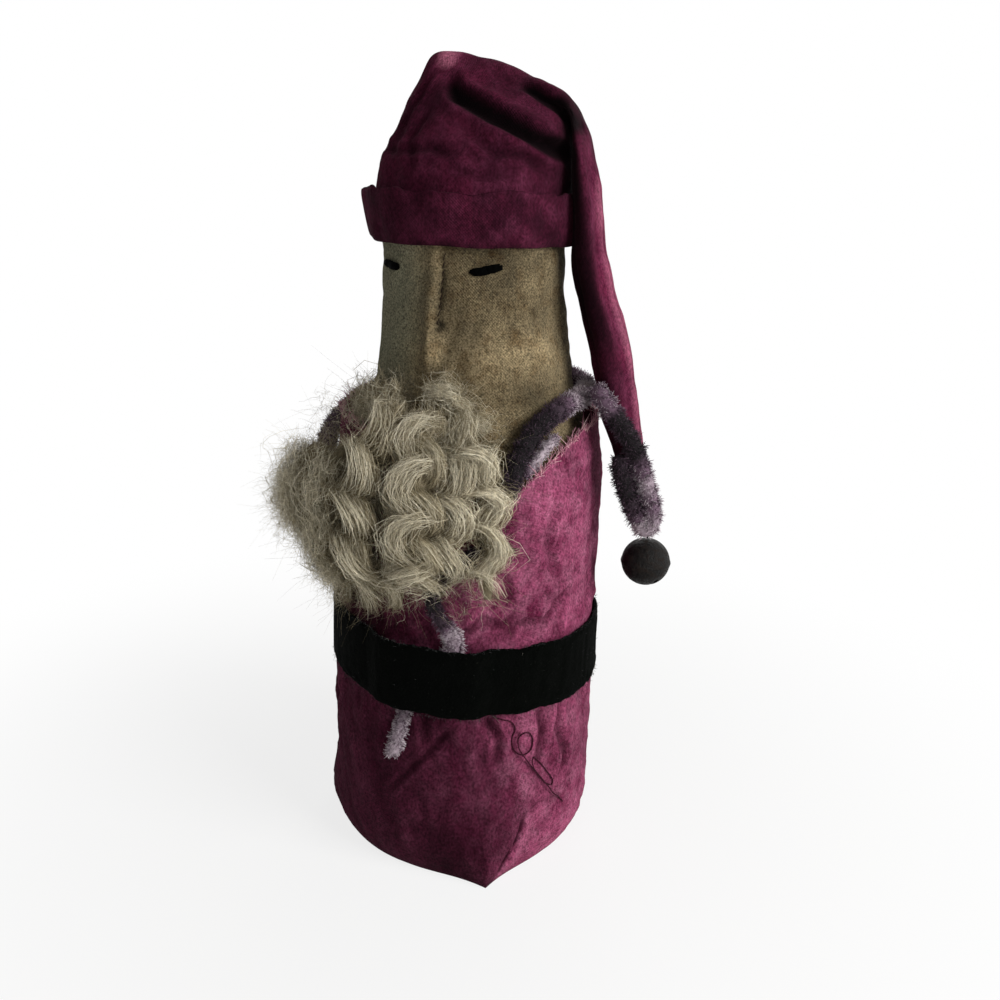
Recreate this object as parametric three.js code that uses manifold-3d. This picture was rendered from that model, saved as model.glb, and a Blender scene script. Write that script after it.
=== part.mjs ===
// A standing cloth Father Christmas: a stuffed linen body in a dyed cotton coat, with a felt belt,
// chenille trims, a stocking hat whose tail ends in a jingle bell, and a beard of curly locks.
// Millimetres. +Z is up, the doll faces -Y and its own left is +X. The origin is the middle of its flat base.
// An angle on the body is in degrees round +Z, 0 at the front (-Y) and 90 at the doll's left (+X).
import * as THREE from "three";
import { mergeVertices } from "three/addons/utils/BufferGeometryUtils.js";
import Module from "manifold-3d";

// Clearances and cloth
const GAP = 0.35; // between touching pieces
const FIT = 0.6; // a cloth tube over what it covers
const COTTON = 1.2; // coat and hat cloth, with its fulled nap
const LINEN = 0.9;

// Linen body
const TORSO_R = 48;
const HEAD_R = 32.5;
const BELLY_OUT = 1.6;
const BELLY_Z = 40;
const BELLY_SPREAD = 36;
const SHOULDER_Z = 142;
const JAW_Z = 208;
const CHEEK_OUT = 1.6;
const CHEEK_Z = 198;
const CHEEK_SPREAD = 12;
const BROW_Z = 243;
const HEAD_TOP_Z = 268;
const NOSE_ANGLE = 2;
const NOSE_SPREAD = 5.5;
const NOSE_OUT = 3.4;
const NOSE_TOP_Z = 230;
const NOSE_TIP_Z = 196;
const NOSE_TIP_ROUND = 6; // how far under its tip the nose ends
const NOSE_FULL = 8; // and how far above it the nose is at its fullest
const NOSE_THREAD_ANGLE = 4.5; // from the nose's middle
const EYE_INNER_ANGLE = 24;
const EYE_OUTER_ANGLE = 43;
const EYE_Z = 225;
const EYE_RISE = 2.1;
const EYE_THICK = 2.3;

// Base: sides draw in under the doll, and the cloth's boxed corners stand out
const BASE_DRAW_IN = 5.1;
const BASE_ROUND_H = 17;
const CORNER_H = 36;
const CORNERS = [
  { angle: 36, out: 10.4, spread: 11 },
  { angle: 128, out: 7, spread: 20 },
  { angle: -145, out: 7, spread: 20 },
  { angle: -70, out: 9.5, spread: 20 },
];
const CARD_R = 41;
const CARD_T = 2;
const BAG_R = 41;
const BAG_H = 30;

// Coat neck
const COAT_NECK_R = 46.6; // inside of the cloth at its raw edge
const NECK_Z = 172;
const NECK_DIP = 24;
const NECK_DIP_ANGLE = 30;
const NECK_DIP_SPREAD = 33;

// Belt
const BELT_W = 25.4;
const BELT_T = 1.8;
const BELT_Z = 85;
const BELT_TILT = 2.5;
const BELT_HIGH_ANGLE = -70;
const BELT_START = 150; // the angle of its inner end
const BELT_OVERLAP = 28; // degrees that the outer end laps over it
const BELT_FADE = 12; // degrees over which it comes down from its bulge or its lap

// Chenille
const TRIM_R = 4.2;
const PRESSED_T = 2.6; // the front strand's thickness under the belt
const PRESS_LEAD = 4.5; // how far past the belt's edges it stays pressed
const PRESS_FADE = 8; // and how far it then takes to swell again
const COLLAR_ROUTE = [
  [40, 150], [47, 160], [58, 169.5], [75, 177], [94, 180], [120, 181], [150, 181], [180, 181],
  [210, 181], [240, 180.5], [265, 178.5], [285, 173.5], [300, 167], [311, 158],
];
const FRONT_ROUTE = [
  [36.5, 140], [34, 131], [28, 121], [21.5, 112], [19.5, 101.5], [14, 93], [8, 84], [2.6, 75.6],
  [0.6, 66], [-0.5, 55.5],
];

// Hat
const BRIM_Z = 232.6;
const CUFF_W = 17;
const CUFF_T = 2;
const CUFF_FLARE = 1.6;
const CUFF_FLARE_ANGLE = -70;
const CREST_Z = 290;
const CREST_HALF = 22;
const CREST_SHIFT = 6;
const CREST_SLOPE = 0.25;

// Hat tail: half thickness and half breadth follow the tail down
const TAIL_ANGLE = 100;
const TAIL_TOP_Z = 276;
const TAIL_TIP_R = 69.5;
const TAIL_TIP_Z = 136.8;
const TAIL_THICK = 13;
const TAIL_BREADTH = 25;
const TIP_THICK = 3;

// Bell
const BELL_R = 8.9;
const BELL_WALL = 0.6;
const BELL_Z = 119.2;
const SLOT_W = 1.5;
const LOOP_R = 1.9;
const LOOP_WIRE_R = 0.45;
const TIE_R = 2.2;
const TIE_WIRE_R = 0.35;
const PELLET_R = 2.3;

// Beard: start, middle and tip of each lock as angle and height, its radius, and how far its tip stands off
const LOCKS = [
  { route: [[-4, 186], [-24, 185], [-46, 178]], r: 4.6, off: 0 },
  { route: [[7, 186], [20, 183], [31, 173]], r: 4.4, off: 0 },
  { route: [[-53, 172], [-65, 154], [-61, 131]], r: 5.8, off: 0 },
  { route: [[-40, 175], [-49, 152], [-47, 119]], r: 6.6, off: 0 },
  { route: [[-25, 176], [-32, 150], [-33, 113]], r: 6.8, off: 0 },
  { route: [[-10, 177], [-15, 149], [-18, 110]], r: 6.8, off: 0 },
  { route: [[4, 177], [2, 149], [-3, 111]], r: 6.8, off: 0 },
  { route: [[17, 175], [17, 151], [13, 119]], r: 6.2, off: 0 },
  { route: [[-48, 176], [-57, 157], [-50, 142]], r: 6.2, off: 4 },
  { route: [[-33, 180], [-41, 156], [-41, 131]], r: 6.4, off: 2 },
  { route: [[-18, 181], [-24, 150], [-27, 119]], r: 6, off: 0 },
  { route: [[-3, 181], [-8, 148], [-10, 116]], r: 6, off: 0 },
  { route: [[11, 180], [10, 150], [6, 118]], r: 6, off: 0.2 },
  { route: [[24, 176], [30, 156], [25, 122]], r: 5, off: 0 },
];
const LOCK_PRESS = 0.955; // how close a lock settles on what is under it, against its radius
const LOCK_ROOT_SHARE = 0.62; // a lock's radius at its root, against its middle
const LOCK_TIP_SHARE = 0.3; // and at its tip

// Loose thread: angle, height and lift off the cloth where it passes over itself
const THREAD_R = 0.25;
const THREAD_ROUTE = [
  [38, 70, 0], [42.5, 68.8, 0], [46, 66.9, 0], [47.4, 63.7, 0], [46.2, 60.2, 0], [46.8, 56.4, 0],
  [48.7, 53.9, 0], [51.9, 53.2, 0], [54.6, 54.6, 0], [55.3, 58.2, 0], [53.8, 61.3, 0], [50.8, 62.3, 0.2],
  [48.6, 60.7, 0.6], [48.8, 56.5, 1], [51.5, 52, 1], [55, 47.3, 0.3], [58.6, 42.8, 0], [62.6, 38, 0],
  [66.3, 35.6, 0], [66.6, 38.2, 0], [62.6, 43.6, 0], [58.6, 48.4, 0], [55.4, 51.6, 0.5], [54.4, 50, 1],
  [56, 46.2, 1.1], [59.8, 41.2, 1.1], [64.3, 35.6, 1.1], [67.6, 31.4, 0.7], [72, 27.8, 0.1], [74.5, 24.7, 0],
];

const { degToRad, lerp, smoothstep } = THREE.MathUtils;
const hump = (x, spread) => Math.exp(-((x / spread) ** 2));
const turn = (degrees) => ((((degrees + 180) % 360) + 360) % 360) - 180;

// Unit vectors outwards from the axis and round it, at an angle on the body
const outward = (angle) => new THREE.Vector3(Math.sin(degToRad(angle)), -Math.cos(degToRad(angle)), 0);
const around = (angle) => new THREE.Vector3(Math.cos(degToRad(angle)), Math.sin(degToRad(angle)), 0);
const place = (angle, r, z) => outward(angle).multiplyScalar(r).setZ(z);

// Surfaces, as a radius at an angle and height

const baseDraw = (z) => BASE_DRAW_IN * Math.max(0, 1 - z / BASE_ROUND_H) ** 2;
const torsoRadius = (z) => TORSO_R + BELLY_OUT * hump(z - BELLY_Z, BELLY_SPREAD) - baseDraw(z);

function noseOut(angle, z) {
  const under = smoothstep(z, NOSE_TIP_Z - NOSE_TIP_ROUND, NOSE_TIP_Z);
  const bridge = 1 - smoothstep(z, NOSE_TIP_Z + NOSE_FULL, NOSE_TOP_Z);
  return NOSE_OUT * under * bridge * hump(turn(angle - NOSE_ANGLE), NOSE_SPREAD);
}

function linenRadius(angle, z) {
  const cheek = CHEEK_OUT * hump(z - CHEEK_Z, CHEEK_SPREAD);
  const tube = lerp(torsoRadius(z), HEAD_R, smoothstep(z, SHOULDER_Z, JAW_Z)) + cheek + noseOut(angle, z);
  const dome = Math.max(0, (z - BROW_Z) / (HEAD_TOP_Z - BROW_Z));
  return tube * Math.sqrt(Math.max(0, 1 - dome ** 2));
}

function coatInside(angle, z) {
  const side = lerp(torsoRadius(z) + FIT, COAT_NECK_R, smoothstep(z, SHOULDER_Z, NECK_Z));
  const fade = Math.max(0, 1 - z / CORNER_H) ** 1.5;
  const corners = CORNERS.map((c) => c.out * Math.exp(-Math.abs(turn(angle - c.angle)) / c.spread));
  return side + fade * Math.max(...corners);
}

const coatOutside = (angle, z) => coatInside(angle, z) + COTTON;
const neckEdge = (angle) => NECK_Z - NECK_DIP * hump(turn(angle - NECK_DIP_ANGLE), NECK_DIP_SPREAD);
const bodyOutside = (angle, z) => (z <= neckEdge(angle) ? coatOutside(angle, z) : linenRadius(angle, z));

// The radius at which a ball rests on the body and on the balls already laid, at an angle and height
function restRadius(angle, z, ballR, laid) {
  const SLICES = 8;
  let r = 0;
  for (let i = -SLICES; i <= SLICES; i += 1) {
    const dz = (ballR * i) / SLICES;
    r = Math.max(r, bodyOutside(angle, z + dz) + Math.sqrt(ballR ** 2 - dz ** 2));
  }
  const e = outward(angle);
  for (const ball of laid) {
    const c = new THREE.Vector3(ball.at.x, ball.at.y, ball.at.z - z);
    const along = c.dot(e);
    const reach = (ballR + ball.r + GAP) ** 2 - (c.lengthSq() - along ** 2);
    if (along > 0 && reach > 0) r = Math.max(r, along + Math.sqrt(reach) - GAP);
  }
  return r + GAP;
}

// Geometry helpers

function fromTriangles(points, faces) {
  const g = new THREE.BufferGeometry();
  g.setAttribute("position", new THREE.Float32BufferAttribute(points.flatMap((p) => [p.x, p.y, p.z]), 3));
  g.setIndex(faces.flat());
  const volume = faces.reduce((sum, [a, b, c]) => {
    return sum + points[a].dot(new THREE.Vector3().crossVectors(points[b], points[c]));
  }, 0);
  if (volume < 0) g.setIndex(faces.flatMap(([a, b, c]) => [a, c, b]));
  return g;
}

// One closed skin over a row of rings with equal counts of points, its ends closed by a fan
function skin(rings) {
  const n = rings[0].length;
  const middle = (ring) => ring.reduce((s, p) => s.add(p), new THREE.Vector3()).divideScalar(ring.length);
  const points = [...rings.flat(), middle(rings[0]), middle(rings[rings.length - 1])];
  const faces = [];
  for (let k = 0; k < n; k += 1) {
    const next = (k + 1) % n;
    const last = (rings.length - 1) * n;
    faces.push([points.length - 2, next, k], [points.length - 1, last + k, last + next]);
    for (let i = 0; i + 1 < rings.length; i += 1) {
      const a = i * n + k;
      const b = i * n + next;
      faces.push([a, b, b + n], [a, b + n, a + n]);
    }
  }
  return fromTriangles(points, faces);
}

// A ring of the angles given, at a radius function and a height function of the angle
const ringAt = (angles, radius, height) => angles.map((a) => place(a, radius(a, height(a)), height(a)));
const level = (z) => () => z;

function anglesWith(step, extra) {
  const even = Array.from({ length: Math.round(360 / step) }, (_, i) => turn(i * step));
  const clear = even.filter((a) => extra.every((b) => Math.abs(turn(a - b)) > step / 4));
  return [...clear, ...extra].sort((a, b) => a - b);
}

// A strand over the body: a rounded section of half thickness and half breadth swept along its middle line
function strand(middle, halfThick, halfBroad, sides) {
  const rings = middle.map((p, i) => {
    const ahead = middle[Math.min(i + 1, middle.length - 1)];
    const along = new THREE.Vector3().subVectors(ahead, middle[Math.max(i - 1, 0)]).normalize();
    const out = new THREE.Vector3(p.x, p.y, 0).normalize();
    out.addScaledVector(along, -out.dot(along)).normalize();
    const across = new THREE.Vector3().crossVectors(along, out);
    return Array.from({ length: sides }, (_, k) => {
      const t = (2 * Math.PI * k) / sides;
      const corner = p.clone().addScaledVector(out, halfThick(i) * Math.cos(t));
      return corner.addScaledVector(across, halfBroad(i) * Math.sin(t));
    });
  });
  return skin(rings);
}

function tube(points, r, sides, steps) {
  const circle = new THREE.Shape(
    Array.from({ length: sides }, (_, k) => {
      const t = (2 * Math.PI * k) / sides;
      return new THREE.Vector2(r * Math.cos(t), r * Math.sin(t));
    }),
  );
  const extrudePath = new THREE.CatmullRomCurve3(points);
  return new THREE.ExtrudeGeometry(circle, { steps, extrudePath, bevelEnabled: false });
}

// A route of [angle, height] rows drawn as a smooth curve and read at equal steps
function readRoute(route, steps) {
  const curve = new THREE.CatmullRomCurve3(route.map(([angle, z]) => new THREE.Vector3(angle, z, 0)));
  return curve.getPoints(steps);
}

const root = new THREE.Group();

function add(name, geometry, color, roughness, metalness = 0) {
  const material = new THREE.MeshStandardMaterial({ color, roughness, metalness });
  const mesh = new THREE.Mesh(geometry, material);
  mesh.name = name;
  root.add(mesh);
  return mesh;
}

// Booleans
const wasm = await Module();
wasm.setup();

function toSolid(geometry) {
  const g = geometry.clone();
  g.deleteAttribute("normal");
  g.deleteAttribute("uv");
  const merged = mergeVertices(g, 1e-4);
  return new wasm.Manifold(
    new wasm.Mesh({
      numProp: 3,
      vertProperties: merged.attributes.position.array,
      triVerts: new Uint32Array(merged.index.array),
    }),
  );
}

function toGeometry(solid) {
  const made = solid.getMesh();
  const g = new THREE.BufferGeometry();
  g.setAttribute("position", new THREE.BufferAttribute(made.vertProperties, 3));
  g.setIndex(new THREE.BufferAttribute(made.triVerts, 1));
  return g;
}

// Coat: a cloth cup, flat underneath, with a raw neck edge
const COAT_COLOR = 0x94516a;
const coatAngles = anglesWith(10, CORNERS.map((c) => c.angle));
const coatShares = [0.012, 0.035, 0.065, 0.1, 0.15, 0.21, 0.29, 0.4, 0.55, 0.72, 0.87, 0.95, 1];
const coatHeight = (share) => (a) => share * neckEdge(a);
const coatFloor = COTTON;
const coatRings = [
  ringAt(coatAngles, coatOutside, level(0)),
  ...coatShares.map((s) => ringAt(coatAngles, coatOutside, coatHeight(s))),
  ...coatShares.slice(1).reverse().map((s) => ringAt(coatAngles, coatInside, coatHeight(s))),
  ringAt(coatAngles, (a) => coatInside(a, 0), level(coatFloor)),
];
add("coat", skin(coatRings), COAT_COLOR, 0.9);

// Linen body: a tube open under the doll, closed over the head
const LINEN_COLOR = 0x8a7c64;
const linenBottom = coatFloor + GAP;
const noseFacets = [-5, -2, 3, 6].map((a) => NOSE_ANGLE + a);
const LINEN_FACET = 12; // degrees
const linenAngles = anglesWith(LINEN_FACET, noseFacets);
const up = (share, from, to) => lerp(from, to, share);
const linenHeights = [
  linenBottom, BASE_ROUND_H, BELLY_Z, up(0.7, 0, SHOULDER_Z), SHOULDER_Z, up(0.6, SHOULDER_Z, NECK_Z), NECK_Z,
  up(0.65, NECK_Z, NOSE_TIP_Z - NOSE_TIP_ROUND), NOSE_TIP_Z - NOSE_TIP_ROUND, NOSE_TIP_Z,
  up(0.3, NOSE_TIP_Z, NOSE_TOP_Z), up(0.65, NOSE_TIP_Z, NOSE_TOP_Z), NOSE_TOP_Z,
  BROW_Z, up(0.6, BROW_Z, HEAD_TOP_Z), up(0.9, BROW_Z, HEAD_TOP_Z),
].sort((a, b) => a - b);
const linenInside = (a, z) => linenRadius(a, z) - LINEN;
const domeShrink = (HEAD_TOP_Z - LINEN - BROW_Z) / (HEAD_TOP_Z - BROW_Z);
const insideHeight = (z) => Math.min(z, BROW_Z) + Math.max(0, z - BROW_Z) * domeShrink;
const linenRing = (z) => ringAt(linenAngles, linenRadius, level(z));
const linenInnerRing = (z) => ringAt(linenAngles, (a) => linenInside(a, z), level(insideHeight(z)));
const POLE_R = 0.05; // the smallest ring at the top of the head
const linenPole = ringAt(linenAngles, () => POLE_R, level(HEAD_TOP_Z));
const linenSolid = toSolid(skin([...linenHeights.map(linenRing), linenPole]));
const linenHollow = toSolid(skin([
  ringAt(linenAngles, (a) => linenInside(a, linenBottom), level(linenBottom - 1)),
  ...linenHeights.slice(1).map(linenInnerRing),
]));
add("linen_body", toGeometry(linenSolid.subtract(linenHollow)), LINEN_COLOR, 0.95);

// What closes and steadies the base
function disc(r, thick, bottom) {
  return new THREE.CylinderGeometry(r, r, thick, 32).rotateX(Math.PI / 2).translate(0, 0, bottom + thick / 2);
}
const flatShare = Math.cos(degToRad(LINEN_FACET / 2)); // a facet's flat lies nearer than its corners
const baseDiscR = (linenInside(0, linenBottom) - GAP) * flatShare;
add("linen_base", disc(baseDiscR, LINEN, linenBottom), LINEN_COLOR, 0.95);
const cardBottom = linenBottom + LINEN + GAP;
add("base_card", disc(Math.min(CARD_R, baseDiscR), CARD_T, cardBottom), 0x8d7450, 0.8);
const bagBottom = cardBottom + CARD_T + GAP;
const bagR = Math.min(BAG_R, baseDiscR);
const bagShape = [[0, 0], [0.8, 0.02], [0.97, 0.2], [1, 0.5], [0.95, 0.8], [0.7, 0.98], [0, 1]];
const bagProfile = bagShape.map(([x, y]) => new THREE.Vector2(x * bagR, y * BAG_H));
const bag = new THREE.LatheGeometry(bagProfile, 24).rotateX(Math.PI / 2).translate(0, 0, bagBottom);
add("weight_bag", bag, 0xa09880, 0.95);
const fillBottom = bagBottom + BAG_H + GAP;
const fillHeights = [fillBottom, ...linenHeights.filter((z) => z > fillBottom + 1)];
const fillAngles = anglesWith(20, []);
const FILL_DOME = 0.96; // how far the filling reaches under the head's dome
function fillRing(z) {
  const inDome = z > BROW_Z;
  const r = (linenRadius(180, z) - LINEN - FIT) * (inDome ? FILL_DOME : 1);
  return ringAt(fillAngles, () => r, level(inDome ? z - LINEN - FIT : z));
}
add("stuffing", skin(fillHeights.map(fillRing)), 0xe4ddcb, 1);

// Eyes and the nose's thread
function onLinen(angle, z, r) {
  return place(angle, linenRadius(angle, z) + r + GAP, z);
}
function eye(side) {
  const points = [0, 0.25, 0.5, 0.75, 1].map((t) => {
    const angle = side * lerp(EYE_INNER_ANGLE, EYE_OUTER_ANGLE, t);
    return onLinen(angle, EYE_Z + EYE_RISE * t, EYE_THICK / 2);
  });
  return tube(points, EYE_THICK / 2, 8, 6);
}
add("eye_left", eye(1), 0x0b0a0a, 0.7);
add("eye_right", eye(-1), 0x0b0a0a, 0.7);
const NOSE_THREAD_LIFT = 0.2; // keeps the straight runs of the thread off the round linen
const noseThread = [0.02, 0.2, 0.4, 0.6, 0.8, 0.95].map((t) => {
  const z = lerp(NOSE_TOP_Z, NOSE_TIP_Z, t);
  return onLinen(NOSE_ANGLE + NOSE_THREAD_ANGLE, z, THREAD_R + NOSE_THREAD_LIFT);
});
add("nose_stitch", tube(noseThread, THREAD_R, 6, 10), 0x2b2018, 0.8);

// Chenille strands, laid on the body; the balls that follow them carry what is laid on top
const TRIM_COLOR = 0x72636a;
const laid = [];

// Each point takes the highest rest found up to its neighbours, so the straight runs between stay clear
const FINE = 4; // readings to each step of a strand
function layStrand(route, steps, radiusAt, rise = () => 0) {
  const rows = readRoute(route, steps * FINE);
  const rests = rows.map((row, i) => {
    const t = i / (steps * FINE);
    return restRadius(row.x, row.y, radiusAt(t, row), laid) + rise(t);
  });
  return Array.from({ length: steps + 1 }, (_, k) => {
    const near = rests.slice(Math.max(0, (k - 0.5) * FINE), (k + 0.5) * FINE + 1);
    return place(rows[k * FINE].x, Math.max(...near), rows[k * FINE].y);
  });
}
function keepLaid(middle, radiusAt) {
  const runs = middle.length - 1;
  for (let i = 0; i <= runs * FINE; i += 1) {
    const k = Math.min(Math.floor(i / FINE), runs - 1);
    const at = middle[k].clone().lerp(middle[k + 1], i / FINE - k);
    laid.push({ at, r: radiusAt(i / (runs * FINE)) });
  }
}
const roundEnds = (t) => Math.min(1, 0.55 + 6 * Math.min(t, 1 - t));

const COLLAR_STEPS = 44;
const collarR = (t) => TRIM_R * roundEnds(t);
const collar = layStrand(COLLAR_ROUTE, COLLAR_STEPS, collarR);
const collarHalf = (i) => collarR(i / COLLAR_STEPS);
add("collar_trim", strand(collar, collarHalf, collarHalf, 8), TRIM_COLOR, 1);
keepLaid(collar, collarR);

const beltMiddle = (a) => BELT_Z + BELT_TILT * Math.cos(degToRad(a - BELT_HIGH_ANGLE));
const FRONT_STEPS = 30;
function frontThick(t, row) {
  const past = Math.abs(row.y - beltMiddle(row.x)) - BELT_W / 2;
  const press = smoothstep(past, PRESS_LEAD, PRESS_LEAD + PRESS_FADE);
  return lerp(PRESSED_T / 2, TRIM_R * roundEnds(t), press);
}
const frontRows = readRoute(FRONT_ROUTE, FRONT_STEPS);
const front = layStrand(FRONT_ROUTE, FRONT_STEPS, frontThick);
const frontHalf = (i) => frontThick(i / FRONT_STEPS, frontRows[i]);
const SPREAD_WIDE = 0.25; // how much wider a strand pressed quite flat would be
const pressShare = (i) => 1 - frontHalf(i) / TRIM_R;
const frontBroad = (i) => TRIM_R * (1 + SPREAD_WIDE * pressShare(i)) * roundEnds(i / FRONT_STEPS);
add("front_trim", strand(front, frontHalf, frontBroad, 8), TRIM_COLOR, 1);
front.forEach((at, i) => laid.push({ at, r: frontHalf(i) }));

// Belt: one band whose end laps over its start at the back, and which bulges over the pressed strand
const nearBelt = (row) => Math.abs(row.y - beltMiddle(row.x)) < BELT_W / 2 + BELT_T;
const underBelt = frontRows.filter(nearBelt).map((row) => row.x);
const bulgeAngle = (Math.max(...underBelt) + Math.min(...underBelt)) / 2;
const strandHalfAngle = THREE.MathUtils.radToDeg((1.6 * TRIM_R) / TORSO_R);
const bulgeHalf = (Math.max(...underBelt) - Math.min(...underBelt)) / 2 + strandHalfAngle;
function beltBulge(a) {
  const past = Math.abs(turn(a - bulgeAngle));
  return (PRESSED_T + 2 * GAP) * (1 - smoothstep(past, bulgeHalf, bulgeHalf + BELT_FADE));
}
const BELT_STEP = 5;
const beltAngles = [];
for (let a = BELT_START; a <= BELT_START + 360 + BELT_OVERLAP; a += BELT_STEP) beltAngles.push(a);
function beltSection(a) {
  const lapFrom = BELT_START + 360 - BELT_FADE;
  const past = smoothstep(a, lapFrom - 2, lapFrom + BELT_FADE - 2);
  const stand = GAP + beltBulge(a) + past * (BELT_T + GAP);
  const corner = (up, thick) => {
    const z = beltMiddle(a) + (up * BELT_W) / 2;
    return place(a, coatOutside(a, z) + stand + thick, z);
  };
  return [corner(-1, 0), corner(1, 0), corner(1, BELT_T), corner(-1, BELT_T)];
}
add("belt", skin(beltAngles.map(beltSection)), 0x101211, 0.95);

// Hat crown: round at the brim, drawn up to a crest that slopes towards the tail
const HAT_COLOR = 0x4a1a2b;
const crownR = HEAD_R + FIT + COTTON;
const cuffTop = BRIM_Z + CUFF_W;
const tailOut = outward(TAIL_ANGLE);
const tailAround = around(TAIL_ANGLE);
const CROWN_POINTS = 36;
const CREST_EDGE = 0.6; // half the crest's breadth where the cloth folds over
function crownRing(share, inset) {
  const close = (1 - share ** 1.7) ** 0.8;
  const long = CREST_HALF + (crownR - CREST_HALF) * close - inset;
  const broad = Math.max(CREST_EDGE, crownR * close - inset);
  const z = lerp(cuffTop, CREST_Z, share) - inset * share;
  const shift = CREST_SHIFT * share;
  return Array.from({ length: CROWN_POINTS }, (_, k) => {
    const t = (2 * Math.PI * k) / CROWN_POINTS;
    const p = new THREE.Vector3().addScaledVector(tailOut, shift + long * Math.cos(t));
    p.addScaledVector(tailAround, broad * Math.sin(t));
    return p.setZ(z - CREST_SLOPE * share ** 1.5 * long * Math.cos(t));
  });
}
function straightRing(z, r) {
  return crownRing(0, crownR - r).map((p) => p.setZ(z));
}
const crownBottom = BRIM_Z + COTTON / 2;
const crownShares = [0, 0.2, 0.38, 0.55, 0.7, 0.83, 0.93, 0.985];
const crown = skin([straightRing(crownBottom, crownR), ...crownShares.map((s) => crownRing(s, 0))]);
const crownHollow = skin([
  straightRing(crownBottom - 1, crownR - COTTON),
  ...crownShares.slice(0, -1).map((s) => crownRing(s, COTTON)),
]);
add("hat_crown", toGeometry(toSolid(crown).subtract(toSolid(crownHollow))), HAT_COLOR, 0.9);

// Cuff: a turned-up band that flares away from the tail
const cuffInside = crownR + GAP;
const cuffAngles = anglesWith(10, []);
const CUFF_LEAN = 0.2; // how far its upper edge stands out all round
const CUFF_FLARE_SPREAD = 80;
const cuffFlare = (a) => CUFF_LEAN + CUFF_FLARE * hump(turn(a - CUFF_FLARE_ANGLE), CUFF_FLARE_SPREAD);
const cuffSection = [
  (a) => place(a, cuffInside, BRIM_Z),
  (a) => place(a, cuffInside + CUFF_T, BRIM_Z),
  (a) => place(a, cuffInside + CUFF_T + cuffFlare(a), cuffTop),
  (a) => place(a, cuffInside + cuffFlare(a), cuffTop),
];
const cuffSolid = toSolid(skin([cuffAngles.map(cuffSection[1]), cuffAngles.map(cuffSection[2])]));
const cuffHole = toSolid(skin([
  cuffAngles.map((a) => place(a, cuffInside, BRIM_Z - 1)),
  cuffAngles.map(cuffSection[0]),
  cuffAngles.map(cuffSection[3]),
  cuffAngles.map((a) => place(a, cuffInside + cuffFlare(a), cuffTop + 1)),
]));
add("hat_cuff", toGeometry(cuffSolid.subtract(cuffHole)), 0x421726, 0.9);

// Tail: a flattened tube that hangs from the fold, clear of cuff, collar and coat
const cuffOutside = cuffInside + CUFF_T + cuffFlare(TAIL_ANGLE);
const collarOutside = linenRadius(TAIL_ANGLE, COLLAR_ROUTE[4][1]) + 2 * (TRIM_R + GAP);
const tailLength = TAIL_TOP_Z - TAIL_TIP_Z;
const TAPER_FROM = 0.62; // shares of the hanging length
const TAPER_TO = 0.95;
const atTip = (t) => smoothstep(t, TAPER_FROM, TAPER_TO);
const overFold = (t, rounded) => (t < 0 ? rounded : 1); // rounds the fold above the hanging length
function tailHalfThick(t) {
  const filled = (TAIL_THICK / 2) * (0.5 + 0.55 * smoothstep(t, 0, 0.5)) * overFold(t, 0.4);
  const tip = (TIP_THICK / 2) * (1 - 0.3 * smoothstep(t, TAPER_TO, 1));
  return lerp(filled, tip, atTip(t));
}
function tailHalfBroad(t) {
  const filled = (TAIL_BREADTH / 2) * (1 - 0.3 * t) * overFold(t, 0.9);
  return lerp(filled, TIP_THICK / 2, smoothstep(t, 0.9 * TAPER_FROM, TAPER_TO));
}
function tailRest(t) {
  const thick = tailHalfThick(Math.max(t, 0));
  const foldRest = crownR + CREST_SHIFT / 4 + GAP + thick;
  const upper = lerp(foldRest, cuffOutside + GAP + thick, smoothstep(t, 0.02, 0.16));
  const low = lerp(collarOutside + thick, TAIL_TIP_R, Math.min(1, 1.12 * smoothstep(t, TAPER_FROM, 1.15)));
  return lerp(upper, low, smoothstep(t, 0.3, 0.72));
}
const TAIL_POINTS = 14;
function tailRing(t) {
  const z = TAIL_TOP_Z - tailLength * t;
  return Array.from({ length: TAIL_POINTS }, (_, k) => {
    const turnBy = (2 * Math.PI * k) / TAIL_POINTS;
    const p = new THREE.Vector3().addScaledVector(tailOut, tailRest(t) + tailHalfThick(t) * Math.cos(turnBy));
    p.addScaledVector(tailAround, tailHalfBroad(t) * Math.sin(turnBy));
    return p.setZ(z);
  });
}
const tailShares = [-0.012, 0, 0.06, 0.13, 0.22, 0.32, 0.43, 0.54, 0.64, 0.74, 0.83, 0.91, 0.96, 1];
add("hat_tail", skin(tailShares.map(tailRing)), HAT_COLOR, 0.9);

// Tail strand: down the tail's outer front, hooked round the tip and up its inner back.
// Each row is the share down the tail and the angle round it, 0 outwards and 90 to the doll's front.
const TAIL_TRIM_ROUTE = [
  [0.66, 112], [0.7, 92], [0.75, 74], [0.81, 62], [0.88, 56], [0.945, 58], [0.99, 74], [1.005, 105],
  [0.985, 145], [0.95, 180], [0.895, 208], [0.835, 220],
];
const tailTrim = TAIL_TRIM_ROUTE.map(([t, roundBy]) => {
  const s = Math.min(t, 1);
  const w = degToRad(roundBy);
  const p = new THREE.Vector3();
  p.addScaledVector(tailOut, tailRest(s) + (tailHalfThick(s) + TRIM_R + GAP) * Math.cos(w));
  p.addScaledVector(tailAround, -(tailHalfBroad(s) + TRIM_R + GAP) * Math.sin(w));
  return p.setZ(TAIL_TOP_Z - tailLength * t);
});
add("tail_trim", tube(tailTrim, TRIM_R * 0.97, 8, 36), TRIM_COLOR, 1);

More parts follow.
